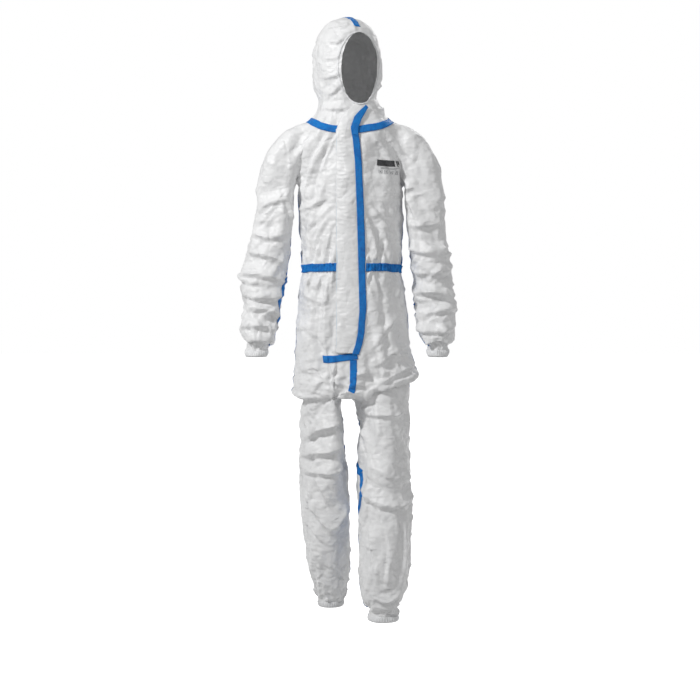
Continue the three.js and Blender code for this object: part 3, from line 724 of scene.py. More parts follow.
@dataclass
class Drape:
    """The suit's skin, before and after the cloth has settled, with the same points in both."""

    form: Form = field(default_factory=Form)
    face: Opening = field(default_factory=Opening)
    voxel: float = 0.0088
    slack: float = 0.08
    roomy: float = 0.012
    frames: int = 34
    reach: float = 0.026
    stir: float = 0.004
    weight: float = 0.1
    stiff: float = 0.5
    pull: float = 30.0
    half_strip: float = 0.046
    start: np.ndarray = field(init=False)
    final: np.ndarray = field(init=False)
    faces: list[list[int]] = field(init=False)
    normals: np.ndarray = field(init=False)

    def build(self) -> None:
        """Make the skin, drape it and refine it."""
        skin = self.sew()
        before = coords(skin.data).copy()
        after = self.settle(skin, before)
        self.refine(skin, before, after)
        self.crease()
        self.tree = BVHTree.FromPolygons([Vector(p) for p in self.start], self.faces)

    def into_hood(self) -> Matrix:
        """Return the transform from the suit's frame to the hood's."""
        return self.form.tubes()[1][2].inverted()

    def sew(self) -> bpy.types.Object:
        """Join the tubes into one skin, open at cuffs, hems and face.

        Returns:
            The skin, one layer of even quads.
        """
        bm = bmesh.new()
        for _, sections, turn in self.form.tubes():
            loft(bm, sections, 48, 0.0, turn)
        bmesh.ops.recalc_face_normals(bm, faces=bm.faces)
        skin = new_object("skin", bm)
        remesh = skin.modifiers.new("remesh", "REMESH")
        remesh.mode = "VOXEL"
        remesh.voxel_size = self.voxel
        bake_modifiers(skin)
        bm = bmesh.new()
        bm.from_mesh(skin.data)
        for _ in range(6):
            bmesh.ops.smooth_vert(bm, verts=bm.verts, factor=0.5, use_axis_x=True, use_axis_y=True, use_axis_z=True)
        hem, cuff = self.form.hem, self.form.cuff
        everything = bm.verts[:] + bm.edges[:] + bm.faces[:]
        bmesh.ops.bisect_plane(bm, geom=everything, plane_co=(0, 0, hem), plane_no=(0, 0, -1), clear_outer=True)
        arms = [f for f in bm.faces if abs(f.calc_center_median().x) > 0.206 and f.calc_center_median().z < cuff + 0.1]
        arm_geom = list({v for f in arms for v in f.verts}) + list({e for f in arms for e in f.edges}) + arms
        bmesh.ops.bisect_plane(bm, geom=arm_geom, plane_co=(0, 0, cuff), plane_no=(0, 0, -1), clear_outer=True)
        self.open_face(bm)
        loose = [v for v in bm.verts if not v.link_faces]
        bmesh.ops.delete(bm, geom=loose, context="VERTS")
        bm.to_mesh(skin.data)
        bm.free()
        return skin

    def open_face(self, bm: bmesh.types.BMesh) -> None:
        """Cut the face opening and draw its rim onto the oval.

        Args:
            bm: The skin's mesh.
        """
        middles = np.array([f.calc_center_median() for f in bm.faces])
        inside = self.face.across(middles, self.into_hood()) < 1.0
        gone = [f for f, flag in zip(bm.faces[:], inside) if flag]
        bmesh.ops.delete(bm, geom=gone, context="FACES")
        out_of_hood = self.into_hood().inverted()
        for vert in bm.verts:
            if vert.is_boundary and vert.co.z > 0.02:
                local = self.into_hood() @ vert.co
                middle = 0.5 * (self.face.low + self.face.high)
                u = local.x / self.face.half
                v = (local.z - middle) / (0.5 * (self.face.high - self.face.low))
                r = max(math.hypot(u, v), 1e-6)
                local.x /= r
                local.z = middle + (local.z - middle) / r
                vert.co = out_of_hood @ local

    def masks(self, at: np.ndarray) -> dict[str, np.ndarray]:
        """Weigh how strongly each point belongs to the held and gathered parts.

        Args:
            at: The skin's points before it settles.

        Returns:
            A weight from 0 to 1 for each point, by the part's name.
        """
        x, y, z = at.T
        hem, cuff, waist = self.form.hem, self.form.cuff, self.form.waist
        arm = (np.abs(x) > 0.206) & (z < cuff + 0.12)
        cuffs = np.where(arm, 1 - smoothstep(0.004, 0.022, z - cuff), 0)
        ankles = 1 - smoothstep(0.006, 0.024, z - hem)
        rim = 1 - smoothstep(1.04, 1.28, self.face.across(at, self.into_hood()))
        front = (y < 0) & (z < 0.0) & (z > -0.70)
        strip = np.where(front, 1 - smoothstep(self.half_strip - 0.012, self.half_strip + 0.004, np.abs(x)), 0)
        trunk = np.abs(x) < 0.172
        band = np.where(trunk, 1 - smoothstep(0.006, 0.016, np.abs(z - waist)), 0)
        collar = self.form.above_collar(y, z)
        seam = np.where(np.abs(x) < 0.14, 1 - smoothstep(0.003, 0.014, np.abs(collar)), 0)
        return {"cuffs": cuffs, "ankles": ankles, "rim": rim, "strip": strip, "band": band, "seam": seam}

    def dress_form(self) -> list[bpy.types.Object]:
        """Make the hidden form inside the suit that the cloth rests on."""
        forms = []
        for name, sections, turn in self.form.tubes():
            bm = bmesh.new()
            grow = {"body": -0.016, "hood": -0.010, "sleeve": -0.019, "leg": -0.022}[name]
            thin = [replace(s, half=max(s.half + grow, 0.012), front=max(s.front + grow, 0.012),
                            back=max(s.back + grow, 0.012)) for s in sections]
            loft(bm, thin, 32, 0.0, turn)
            bmesh.ops.recalc_face_normals(bm, faces=bm.faces)
            obj = new_object("form", bm)
            obj.modifiers.new("collision", "COLLISION")
            obj.collision.thickness_outer = 0.003
            obj.collision.cloth_friction = 8.0
            forms.append(obj)
        return forms

    def settle(self, skin: bpy.types.Object, at: np.ndarray) -> np.ndarray:
        """Drape the skin by cloth simulation.

        Args:
            skin: The skin's object.
            at: Its points before it settles.

        Returns:
            Its points after.
        """
        forms = self.dress_form()
        masks = self.masks(at)
        held = np.maximum.reduce([masks["cuffs"], masks["ankles"], masks["rim"], masks["strip"],
                                  masks["band"] * 0.35, masks["seam"] * 0.5])
        gathered = np.maximum.reduce([masks["cuffs"], masks["ankles"], masks["rim"], masks["strip"], masks["band"]])
        for name, weights in (("held", held), ("gathered", gathered)):
            group = skin.vertex_groups.new(name=name)
            for i in np.nonzero(weights > 0.002)[0]:
                group.add([int(i)], float(weights[i]), "REPLACE")
        stirred = at.copy()
        for i, point in enumerate(at):
            stirred[i] += np.array(noise.noise_vector(Vector(point) * 14.0)) * self.stir * (1 - held[i])
        skin.data.vertices.foreach_set("co", stirred.ravel())
        skin.shape_key_add(name="worn")
        cut = skin.shape_key_add(name="cut")
        longer = at.copy()
        longer[:, 2] *= 1.0 + self.slack
        cut.data.foreach_set("co", longer.ravel())
        cut.value = 0.0
        cloth = skin.modifiers.new("cloth", "CLOTH")
        settings = cloth.settings
        settings.quality = 5
        settings.mass = 0.12
        settings.tension_stiffness = self.pull
        settings.compression_stiffness = self.pull
        settings.shear_stiffness = 0.4 * self.pull
        settings.bending_stiffness = self.stiff
        settings.tension_damping = 8
        settings.compression_damping = 8
        settings.bending_damping = 0.6
        settings.air_damping = 3
        settings.vertex_group_mass = "held"
        settings.pin_stiffness = 1.0
        settings.rest_shape_key = cut
        settings.vertex_group_shrink = "gathered"
        settings.shrink_min = -self.roomy
        settings.shrink_max = 0.05
        cloth.collision_settings.distance_min = 0.003
        cloth.collision_settings.use_self_collision = False
        settings.effector_weights.gravity = self.weight
        cloth.point_cache.frame_start = 1
        cloth.point_cache.frame_end = self.frames
        scene = bpy.context.scene
        scene.frame_start, scene.frame_end = 1, self.frames
        for step in range(1, self.frames + 1):
            scene.frame_set(step)
        graph = bpy.context.evaluated_depsgraph_get()
        after = coords(skin.evaluated_get(graph).data).copy()
        scene.frame_set(1)
        skin.modifiers.clear()
        skin.shape_key_clear()
        for obj in forms:
            bpy.data.objects.remove(obj)
        moved = after - at
        size = np.linalg.norm(moved, axis=1, keepdims=True)
        return at + moved * np.minimum(1.0, self.reach / np.maximum(size, 1e-9))

    def refine(self, skin: bpy.types.Object, before: np.ndarray, after: np.ndarray) -> None:
        """Halve the skin's mesh size before and after it settled, and keep both.

        Args:
            skin: The skin's object. It is removed.
            before: Its points before it settled.
            after: Its points after.
        """
        results = []
        for points in (before, after):
            skin.data.vertices.foreach_set("co", points.ravel())
            skin.data.update()
            divide = skin.modifiers.new("divide", "SUBSURF")
            divide.levels = divide.render_levels = 1
            bpy.context.view_layer.update()
            graph = bpy.context.evaluated_depsgraph_get()
            fine = skin.evaluated_get(graph).data
            results.append(coords(fine).copy())
            self.faces = [list(p.vertices) for p in fine.polygons]
            skin.modifiers.clear()
        self.start, self.final = results
        bpy.data.objects.remove(skin)

    def mesh_normals(self) -> np.ndarray:
        """Return the outward normal at each point of the settled skin."""
        mesh = bpy.data.meshes.new("probe")
        mesh.from_pydata(self.final.tolist(), [], self.faces)
        out = np.empty(len(mesh.vertices) * 3)
        mesh.vertex_normals.foreach_get("vector", out)
        bpy.data.meshes.remove(mesh)
        return out.reshape(-1, 3)

    def crease(self) -> None:
        """Press folds and fine crumples into the settled skin, less where it is held."""
        masks = self.masks(self.start)
        creaser = Creaser(self.form, self.start, self.into_hood())
        still = 1 - np.maximum.reduce([masks["strip"], masks["cuffs"], masks["ankles"], masks["rim"] * 0.8])
        calm = 1 - np.maximum.reduce([0.85 * masks["strip"], 0.75 * masks["seam"], 0.7 * masks["band"]])
        away = self.final - np.array([0.0, 0.0, 1.0]) * self.final
        away[:, 0] -= self.form.between_legs
        away /= np.maximum(np.linalg.norm(away, axis=1, keepdims=True), 1e-6)
        self.final = self.final + away * (creaser.overhang() * (1 - masks["strip"] * 0.5))[:, None]
        self.normals = self.mesh_normals()
        self.final = self.final + self.normals * (creaser.lift() * still * (1 - 0.7 * masks["seam"]))[:, None]
        self.normals = self.mesh_normals()
        for i, point in enumerate(self.start):
            self.final[i] += self.normals[i] * (crumple(Vector(point)) * calm[i])
        self.normals = self.mesh_normals()

    def land(self, point: Vector, lift: float) -> Vector:
        """Carry a point near the unsettled skin onto the settled one.

        Args:
            point: The point, near the skin before it settled.
            lift: Its height above the settled skin.

        Returns:
            The point above the settled skin.
        """
        spot, _, index, _ = self.tree.find_nearest(point)
        ring = self.faces[index]
        weights = np.array(poly_3d_calc([Vector(self.start[i]) for i in ring], spot))
        if not np.isfinite(weights).all() or np.abs(weights).sum() > 1.5:
            near = min(range(len(ring)), key=lambda k: (Vector(self.start[ring[k]]) - spot).length)
            weights = np.array([float(k == near) for k in range(len(ring))])
        normal = Vector(weights @ self.normals[ring]).normalized()
        return Vector(weights @ self.final[ring]) + normal * lift

    def touch(self, point: Vector) -> tuple[Vector, Vector]:
        """Return the nearest spot on the unsettled skin and the normal there."""
        spot, normal, _, _ = self.tree.find_nearest(point)
        return spot, normal


def crumple(point: Vector) -> float:
    """Measure the fine creases of the cloth.

    Args:
        point: A spot on the skin before it settled.

    Returns:
        The creases' height there, in metres.
    """
    warp = noise.noise_vector(point * 7.0) * 0.016
    bent = point + warp
    broad = abs(noise.noise(bent * 15.0)) - 0.2
    small = abs(noise.noise(Vector((bent.x, bent.y, bent.z * 0.7)) * 37.0)) - 0.2
    near = noise.voronoi(bent * 17.0, distance_metric="DISTANCE")[0]
    facet = abs(noise.noise(bent * 8.0 + Vector((7.0, 1.0, 3.0)))) - 0.2
    return -0.0046 * broad - 0.0018 * small + 0.0016 * (near[1] - near[0] - 0.3) - 0.0066 * facet


# ---- Finishes -------------------------------------------------------------------------------------
@dataclass
class Shader:
    """A material and short ways of adding its nodes."""

    name: str
    material: bpy.types.Material = field(init=False)

    def __post_init__(self) -> None:
        """Make the material with a Principled shader."""
        self.material = bpy.data.materials.new(self.name)
        self.material.use_nodes = True
        self.tree = self.material.node_tree
        self.body = self.tree.nodes["Principled BSDF"]
        self.place = self.tree.nodes.new("ShaderNodeTexCoord").outputs["Object"]

    def set(self, **values: float | tuple[float, ...]) -> None:
        """Set sockets of the shader.

        Args:
            values: Socket names with _ for each space, and their values.
        """
        for name, value in values.items():
            self.body.inputs[name.replace("_", " ")].default_value = value

    def noise(self, scale: float, detail: float = 2.0) -> Socket:
        """Make a soft noise.

        Args:
            scale: How fine it is, in cells to the metre.
            detail: How many finer octaves it has.

        Returns:
            Its output.
        """
        node = self.tree.nodes.new("ShaderNodeTexNoise")
        node.inputs["Scale"].default_value = scale
        node.inputs["Detail"].default_value = detail
        self.tree.links.new(self.place, node.inputs["Vector"])
        return node.outputs["Fac"]

    def ridges(self, scale: float, detail: float, stretch: tuple[float, float, float] = (1, 1, 1)) -> Socket:
        """Make a pattern of sharp ridge lines, as of a sheet that was folded and opened.

        Args:
            scale: How fine it is, in cells to the metre.
            detail: How many finer octaves it has.
            stretch: How much finer it is along each axis.

        Returns:
            Its output.
        """
        node = self.tree.nodes.new("ShaderNodeTexNoise")
        node.noise_type = "RIDGED_MULTIFRACTAL"
        node.normalize = False
        node.inputs["Scale"].default_value = scale
        node.inputs["Detail"].default_value = detail
        node.inputs["Distortion"].default_value = 0.25
        self.tree.links.new(self.moved(stretch), node.inputs["Vector"])
        return node.outputs["Fac"]

    def cells(self, scale: float, warp: float, stretch: tuple[float, float, float] = (1, 1, 1)) -> Socket:
        """Make a pattern of tilted facets with sharp edges, as of a crumpled sheet.

        Args:
            scale: Cells to the metre.
            warp: How far the pattern is bent, in metres.
            stretch: How much finer it is along each axis.

        Returns:
            Its output, the distance to the cells' edges.
        """
        node = self.tree.nodes.new("ShaderNodeTexVoronoi")
        node.feature = "DISTANCE_TO_EDGE"
        node.inputs["Scale"].default_value = scale
        bend = self.tree.nodes.new("ShaderNodeTexNoise")
        bend.inputs["Scale"].default_value = scale * 0.6
        self.tree.links.new(self.place, bend.inputs["Vector"])
        push = self.tree.nodes.new("ShaderNodeVectorMath")
        push.operation = "MULTIPLY_ADD"
        push.inputs[1].default_value = (warp, warp, warp)
        self.tree.links.new(bend.outputs["Color"], push.inputs[0])
        self.tree.links.new(self.moved(stretch), push.inputs[2])
        self.tree.links.new(push.outputs[0], node.inputs["Vector"])
        return node.outputs["Distance"]

    def moved(self, stretch: tuple[float, float, float]) -> Socket:
        """Stretch the object's coordinates along each axis.

        Args:
            stretch: The factors along X, Y and Z.

        Returns:
            The stretched coordinates.
        """
        if stretch == (1, 1, 1):
            return self.place
        node = self.tree.nodes.new("ShaderNodeMapping")
        node.inputs["Scale"].default_value = stretch
        self.tree.links.new(self.place, node.inputs["Vector"])
        return node.outputs["Vector"]

    def ramp(self, value: Socket, stops: Sequence[tuple[float, tuple[float, float, float]]]) -> Socket:
        """Turn a value into a colour.

        Args:
            value: The socket that drives it.
            stops: Places from 0 to 1 with their colours.

        Returns:
            The colour.
        """
        node = self.tree.nodes.new("ShaderNodeValToRGB")
        points = node.color_ramp.elements
        for point, (at, colour) in zip(points, stops):
            point.position = at
            point.color = (*colour, 1.0)
        self.tree.links.new(value, node.inputs["Fac"])
        return node.outputs["Color"]

    def colour(self, socket: Socket) -> None:
        """Use a socket as the base colour."""
        self.tree.links.new(socket, self.body.inputs["Base Color"])

    def rough(self, value: Socket, low: float, high: float) -> None:
        """Let a value vary the roughness.

        Args:
            value: The socket that drives it.
            low: The roughness where the value is 0.
            high: The roughness where it is 1.
        """
        node = self.tree.nodes.new("ShaderNodeMapRange")
        node.inputs["To Min"].default_value = low
        node.inputs["To Max"].default_value = high
        self.tree.links.new(value, node.inputs["Value"])
        self.tree.links.new(node.outputs["Result"], self.body.inputs["Roughness"])

    def bumps(self, *layers: tuple[Socket, float]) -> None:
        """Chain bump layers onto the shader's normal.

        Args:
            layers: Pairs of a height socket and the height in metres.
        """
        last = None
        for height, distance in layers:
            node = self.tree.nodes.new("ShaderNodeBump")
            node.inputs["Strength"].default_value = 1.0
            node.inputs["Distance"].default_value = distance
            self.tree.links.new(height, node.inputs["Height"])
            if last is not None:
                self.tree.links.new(last, node.inputs["Normal"])
            last = node.outputs["Normal"]
        self.tree.links.new(last, self.body.inputs["Normal"])


@dataclass(frozen=True)
class Laminate:
    """White microporous film on a fine nonwoven: satin, with small hard crumples and a dotted bond."""

    name: str = "white_laminate"
    base: tuple[float, float, float] = (0.845, 0.847, 0.850)
    shade: tuple[float, float, float] = (0.800, 0.803, 0.808)

    def make(self) -> bpy.types.Material:
        """Return the material."""
        shader = Shader(self.name)
        shader.set(Roughness=0.44, Specular_IOR_Level=0.45, Sheen_Weight=0.05, Sheen_Roughness=0.5)
        shader.colour(shader.ramp(shader.noise(26.0, 5.0), ((0.30, self.shade), (0.62, self.base))))
        shader.rough(shader.noise(120.0, 3.0), 0.36, 0.54)
        shader.bumps(
            (shader.cells(13.0, 0.040, (1.0, 1.0, 0.62)), 0.0120),
            (shader.ridges(12.0, 4.0, (1.0, 1.0, 0.7)), 0.0150),
            (shader.cells(44.0, 0.012, (0.8, 1.0, 1.25)), 0.0030),
            (shader.ridges(46.0, 2.0, (0.8, 1.0, 1.2)), 0.0036),
            (shader.noise(620.0, 3.0), 0.00018),
            (shader.noise(2400.0, 2.0), 0.00005),
        )
        return shader.material


@dataclass(frozen=True)
class SeamTape:
    """Blue heat-sealed tape: half-gloss film over the seam, with cross wrinkles and paler raised spots."""

    name: str = "blue_seam_tape"
    base: tuple[float, float, float] = (0.002, 0.225, 0.690)
    deep: tuple[float, float, float] = (0.001, 0.155, 0.560)

    def make(self) -> bpy.types.Material:
        """Return the material."""
        shader = Shader(self.name)
        shader.set(Roughness=0.40, Specular_IOR_Level=0.28)
        mottle = shader.noise(90.0, 4.0)
        shader.colour(shader.ramp(mottle, ((0.32, self.deep), (0.60, self.base))))
        shader.rough(shader.noise(260.0, 3.0), 0.30, 0.48)
        shader.bumps(
            (shader.cells(120.0, 0.6), 0.0011),
            (shader.noise(420.0, 3.0), 0.00030),
            (shader.noise(1900.0, 2.0), 0.00006),
        )
        return shader.material


@dataclass(frozen=True)
class Gathers:
    """Laminate gathered on hidden elastic: the same white, with tight even puckers."""

    name: str = "gathered_elastic"
    base: tuple[float, float, float] = (0.84, 0.845, 0.852)
    shade: tuple[float, float, float] = (0.76, 0.768, 0.78)

    def make(self) -> bpy.types.Material:
        """Return the material."""
        shader = Shader(self.name)
        shader.set(Roughness=0.55, Specular_IOR_Level=0.35, Sheen_Weight=0.1)
        shader.colour(shader.ramp(shader.noise(150.0, 3.0), ((0.30, self.shade), (0.60, self.base))))
        shader.rough(shader.noise(300.0, 2.0), 0.48, 0.64)
        shader.bumps((shader.ridges(60.0, 2.0), 0.0008), (shader.noise(900.0, 2.0), 0.00012))
        return shader.material


@dataclass(frozen=True)
class Moulded:
    """A small hard part: moulded plastic, enamelled metal, glossy paper or printing ink."""

    name: str
    base: tuple[float, float, float]
    shade: tuple[float, float, float]
    rough: tuple[float, float]
    metal: float = 0.0
    grain: float = 700.0
    depth: float = 0.00005

    def make(self) -> bpy.types.Material:
        """Return the material."""
        shader = Shader(self.name)
        shader.set(Metallic=self.metal, Specular_IOR_Level=0.5)
        wear = shader.noise(self.grain * 0.4, 4.0)
        shader.colour(shader.ramp(wear, ((0.36, self.shade), (0.58, self.base))))
        shader.rough(shader.noise(self.grain, 3.0), *self.rough)
        shader.bumps((shader.noise(self.grain * 2.0, 3.0), self.depth))
        return shader.material


@dataclass(frozen=True)
class Woven:
    """The zip's woven tape: fine ribs across it and a cross weave, with painted shade darkening the grooves between the
    ribs.
    """

    name: str = "woven_zip_tape"
    base: tuple[float, float, float] = (0.80, 0.81, 0.82)
    # painted shade: the darker grey painted into the grooves between the ribs
    shade: tuple[float, float, float] = (0.60, 0.61, 0.63)

    def make(self) -> bpy.types.Material:
        """Return the material."""
        shader = Shader(self.name)
        shader.set(Roughness=0.78, Specular_IOR_Level=0.25, Sheen_Weight=0.2)
        ribs = shader.tree.nodes.new("ShaderNodeTexWave")
        ribs.bands_direction = "Z"
        ribs.inputs["Scale"].default_value = 260.0
        ribs.inputs["Distortion"].default_value = 1.2
        shader.tree.links.new(shader.place, ribs.inputs["Vector"])
        cross = shader.tree.nodes.new("ShaderNodeTexWave")
        cross.bands_direction = "X"
        cross.inputs["Scale"].default_value = 320.0
        cross.inputs["Distortion"].default_value = 0.8
        shader.tree.links.new(shader.place, cross.inputs["Vector"])
        # Painted shade: the ribs' wave turns the colour towards the darker grey in its low grooves, the same wave that
        # raises the ribs' bump.
        shader.colour(shader.ramp(ribs.outputs["Fac"], ((0.10, self.shade), (0.70, self.base))))
        shader.bumps((ribs.outputs["Fac"], 0.00022), (cross.outputs["Fac"], 0.00014))
        return shader.material


@dataclass
class Finishes:
    """Every material of the suit."""

    cloth: bpy.types.Material = field(init=False)
    tape: bpy.types.Material = field(init=False)
    gathers: bpy.types.Material = field(init=False)
    woven: bpy.types.Material = field(init=False)
    coil: bpy.types.Material = field(init=False)
    metal: bpy.types.Material = field(init=False)
    paper: bpy.types.Material = field(init=False)
    ink: bpy.types.Material = field(init=False)
    grey_ink: bpy.types.Material = field(init=False)

    def __post_init__(self) -> None:
        """Make the materials."""
        self.cloth, self.tape, self.gathers = Laminate().make(), SeamTape().make(), Gathers().make()
        self.woven = Woven().make()
        self.coil = Moulded("nylon_coil", (0.80, 0.81, 0.83), (0.70, 0.71, 0.74), (0.28, 0.42)).make()
        self.metal = Moulded("enamelled_slider", (0.78, 0.79, 0.81), (0.62, 0.63, 0.66), (0.22, 0.38), 0.35).make()
        self.paper = Moulded("release_paper", (0.72, 0.80, 0.86), (0.64, 0.73, 0.80), (0.24, 0.36), grain=240.0,
                             depth=0.00025).make()
        self.ink = Moulded("printed_ink", (0.012, 0.012, 0.014), (0.030, 0.031, 0.034), (0.46, 0.62)).make()
        self.grey_ink = Moulded("grey_ink", (0.26, 0.27, 0.28), (0.34, 0.35, 0.36), (0.50, 0.64)).make()


# ---- Panels cut from the skin ---------------------------------------------------------------------
@dataclass
class Bend:
    """A stretch over which cloth turns from one body to the next."""

    first: str
    second: str
    start: tuple[float, float, float]
    end: tuple[float, float, float]

    def on(self, piece: bpy.types.Object) -> None:
        """Bake a piece's transform into its mesh; the piece keeps no body to follow and does not bend."""
        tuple(self.start)
        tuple(self.end)
        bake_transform(piece)


def bends() -> dict[str, Bend]:
    """Return the bends at neck, shoulders, elbows, hips and knees, and at the flap's seam."""
    out = {
        "neck": Bend("torso", "hood", (0.0, 0.0, 0.0), (0.0, -0.0219, 0.0717)),
        "flap": Bend("torso", "storm_flap", (0.034, -0.1, -0.34), (0.010, -0.1, -0.34)),
    }
    for side in Side:
        s, word = side.value, side.label
        out[f"shoulder_{word}"] = Bend("torso", f"upper_sleeve_{word}", (s * 0.168, 0, -0.166), (s * 0.260, 0, -0.258))
        out[f"elbow_{word}"] = Bend(f"upper_sleeve_{word}", f"lower_sleeve_{word}", (0, 0, -0.365), (0, 0, -0.500))
        out[f"hip_{word}"] = Bend("torso", f"thigh_{word}", (0, 0, -0.786), (0, 0, -0.912))
        out[f"knee_{word}"] = Bend(f"thigh_{word}", f"shin_{word}", (0, 0, -1.040), (0, 0, -1.212))
    return out


@dataclass
class Panels:
    """The suit's cloth panels, cut from the draped skin."""

    drape: Drape
    finishes: Finishes
    bend: dict[str, Bend]
    wall: float = 0.0005
    forearm: float = -0.358
    calf: float = -0.976

    def regions(self) -> np.ndarray:
        """Sort the skin's faces into panels.

        Returns:
            The number of each face's region, in the order of Region.
        """
        start, form = self.drape.start, self.drape.form
        middles = np.array([start[ring].mean(axis=0) for ring in self.drape.faces])
        x, y, z = middles.T
        number = {region: i for i, region in enumerate(Region)}
        hood_x = carried(middles, self.drape.into_hood())[:, 0]
        collar = form.above_collar(y, z)
        left = x > 0.0
        side_x = 0.158 + 0.022 * np.clip((-z - 0.35) / 0.25, 0, 1)
        arm = (np.abs(x) > side_x) & (z > -0.70) & ~((z < -0.668) | (collar > 0))
        hips = np.interp(-z, [0.36, 0.48, 0.60, 0.70], [0.164, 0.172, 0.188, 0.200])
        arm = np.where(z < -0.36, np.abs(x - 0.004) > hips, arm) & (z > form.cuff - 0.004)
        out = np.where(y < 0, np.where(left, number[Region.FRONT_LEFT], number[Region.FRONT_RIGHT]),
                       np.where(left, number[Region.BACK_LEFT], number[Region.BACK_RIGHT]))
        legs = z < form.leg_edge(x)
        leg_left = x > form.between_legs
        upper = z > self.calf
        out = np.where(legs & leg_left & upper, number[Region.THIGH_LEFT], out)
        out = np.where(legs & ~leg_left & upper, number[Region.THIGH_RIGHT], out)
        out = np.where(legs & leg_left & ~upper, number[Region.CALF_LEFT], out)
        out = np.where(legs & ~leg_left & ~upper, number[Region.CALF_RIGHT], out)
        height = z - form.leg_line
        gusset = (np.abs(x - form.between_legs) < 0.022) & (height > -0.022) & (height < 0.020) & (np.abs(y) < 0.085)
        out = np.where(gusset, number[Region.GUSSET], out)
        high = z > self.forearm
        out = np.where(arm & left & high, number[Region.SHOULDER_LEFT], out)
        out = np.where(arm & ~left & high, number[Region.SHOULDER_RIGHT], out)
        out = np.where(arm & left & ~high, number[Region.FOREARM_LEFT], out)
        out = np.where(arm & ~left & ~high, number[Region.FOREARM_RIGHT], out)
        hood = (collar > 0) & (np.abs(x) < 0.16)
        out = np.where(hood & (hood_x >= 0), number[Region.HOOD_LEFT], out)
        return np.where(hood & (hood_x < 0), number[Region.HOOD_RIGHT], out)

    def bodies(self, region: Region) -> tuple[str | Bend, tuple[str, ...]]:
        """Look up what a panel belongs to.

        Args:
            region: The panel.

        Returns:
            The body or bend that it follows, and the CAD nodes that it stands for.
        """
        side = "left" if region.value.endswith("left") else "right"
        kind = region.value.rsplit("_", 1)[0]
        if region is Region.GUSSET:
            return "torso", ("crotch_gusset",)
        if kind == "hood":
            extra = ("neck_fold",) if side == "left" else ()
            return self.bend["neck"], (f"hood_panel_{side}", *extra)
        if kind in ("front", "back"):
            return "torso", (f"{kind}_panel_{side}",)
        joint, nodes = {
            "shoulder_sleeve": ("shoulder", ("shoulder_fold", "upper_sleeve")),
            "forearm_sleeve": ("elbow", ("elbow_fold", "lower_sleeve")),
            "thigh_leg": ("hip", ("hip_fold", "thigh")),
            "calf_leg": ("knee", ("knee_fold", "shin")),
        }[kind]
        return self.bend[f"{joint}_{side}"], tuple(f"{node}_{side}" for node in nodes)

    def cut(self) -> None:
        """Cut every panel, give it its wall and finish, and tie it to its body where it follows a single one."""
        whole = bpy.data.meshes.new("whole")
        whole.from_pydata(self.drape.final.tolist(), [], self.drape.faces)
        numbers = self.regions()
        for number, region in enumerate(Region):
            bm = bmesh.new()
            bm.from_mesh(whole)
            kept = bm.verts.layers.int.new("kept")
            for vert in bm.verts:
                vert[kept] = vert.index
            others = [face for face, at in zip(bm.faces[:], numbers) if at != number]
            bmesh.ops.delete(bm, geom=others, context="FACES")
            indices = [vert[kept] for vert in bm.verts]
            bm.verts.layers.int.remove(kept)
            self.finish(new_object(region.value, bm), region, indices)
        bpy.data.meshes.remove(whole)

    def finish(self, panel: bpy.types.Object, region: Region, indices: list[int]) -> None:
        """Give a cut panel its wall, shading and finish, and tie it to its body where it follows a single one.

        Args:
            panel: The panel's object.
            region: Which panel it is.
            indices: The skin's point behind each of its points.
        """
        wall = panel.modifiers.new("wall", "SOLIDIFY")
        wall.thickness = self.wall
        wall.offset = -1.0
        bake_modifiers(panel)
        mesh = panel.data
        mesh.shade_smooth()
        outer = self.drape.normals[indices]
        both = np.vstack([outer, -outer])
        if len(both) == len(mesh.vertices):
            mesh.normals_split_custom_set_from_vertices(both.tolist())
        mesh.materials.append(self.finishes.cloth)
        follows, nodes = self.bodies(region)
        if isinstance(follows, Bend):
            follows.on(panel)
        else:
            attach(panel, follows)
        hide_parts(*nodes)
        log.info("%s: %d faces", panel.name, len(mesh.polygons))


# ---- Pieces laid on the skin ----------------------------------------------------------------------
def thicken(piece: bpy.types.Object, wall: float) -> None:
    """Give a sheet its thickness, half to each side, and turn its faces outwards.

    Args:
        piece: The sheet.
        wall: Its thickness.
    """
    thick = piece.modifiers.new("wall", "SOLIDIFY")
    thick.thickness = wall
    thick.offset = 0.0
    bake_modifiers(piece)
    bm = bmesh.new()
    bm.from_mesh(piece.data)
    bmesh.ops.recalc_face_normals(bm, faces=bm.faces)
    bm.to_mesh(piece.data)
    bm.free()
    piece.data.shade_smooth()


def grid_piece(name: str, long: int, wide: int, place: Callable[[float, float], Vector], wall: float,
               closed: bool = False) -> bpy.types.Object:
    """Make a thin sheet from a grid whose points are placed one by one.

    Args:
        name: The piece's name.
        long: Faces along it.
        wide: Faces across it.
        place: Gives the place of a point from its share along, 0 to 1, and across, -1 to 1.
        wall: The sheet's thickness.
        closed: Whether the sheet's two ends meet in a loop.

    Returns:
        The sheet's object.
    """
    bm = bmesh.new()
    bmesh.ops.create_grid(bm, x_segments=long, y_segments=wide, size=1.0)
    for vert in bm.verts:
        vert.co = place(0.5 + 0.5 * vert.co.x, vert.co.y)
    if closed:
        bmesh.ops.remove_doubles(bm, verts=bm.verts, dist=1e-5)
    bmesh.ops.recalc_face_normals(bm, faces=bm.faces)
    piece = new_object(name, bm)
    thicken(piece, wall)
    return piece


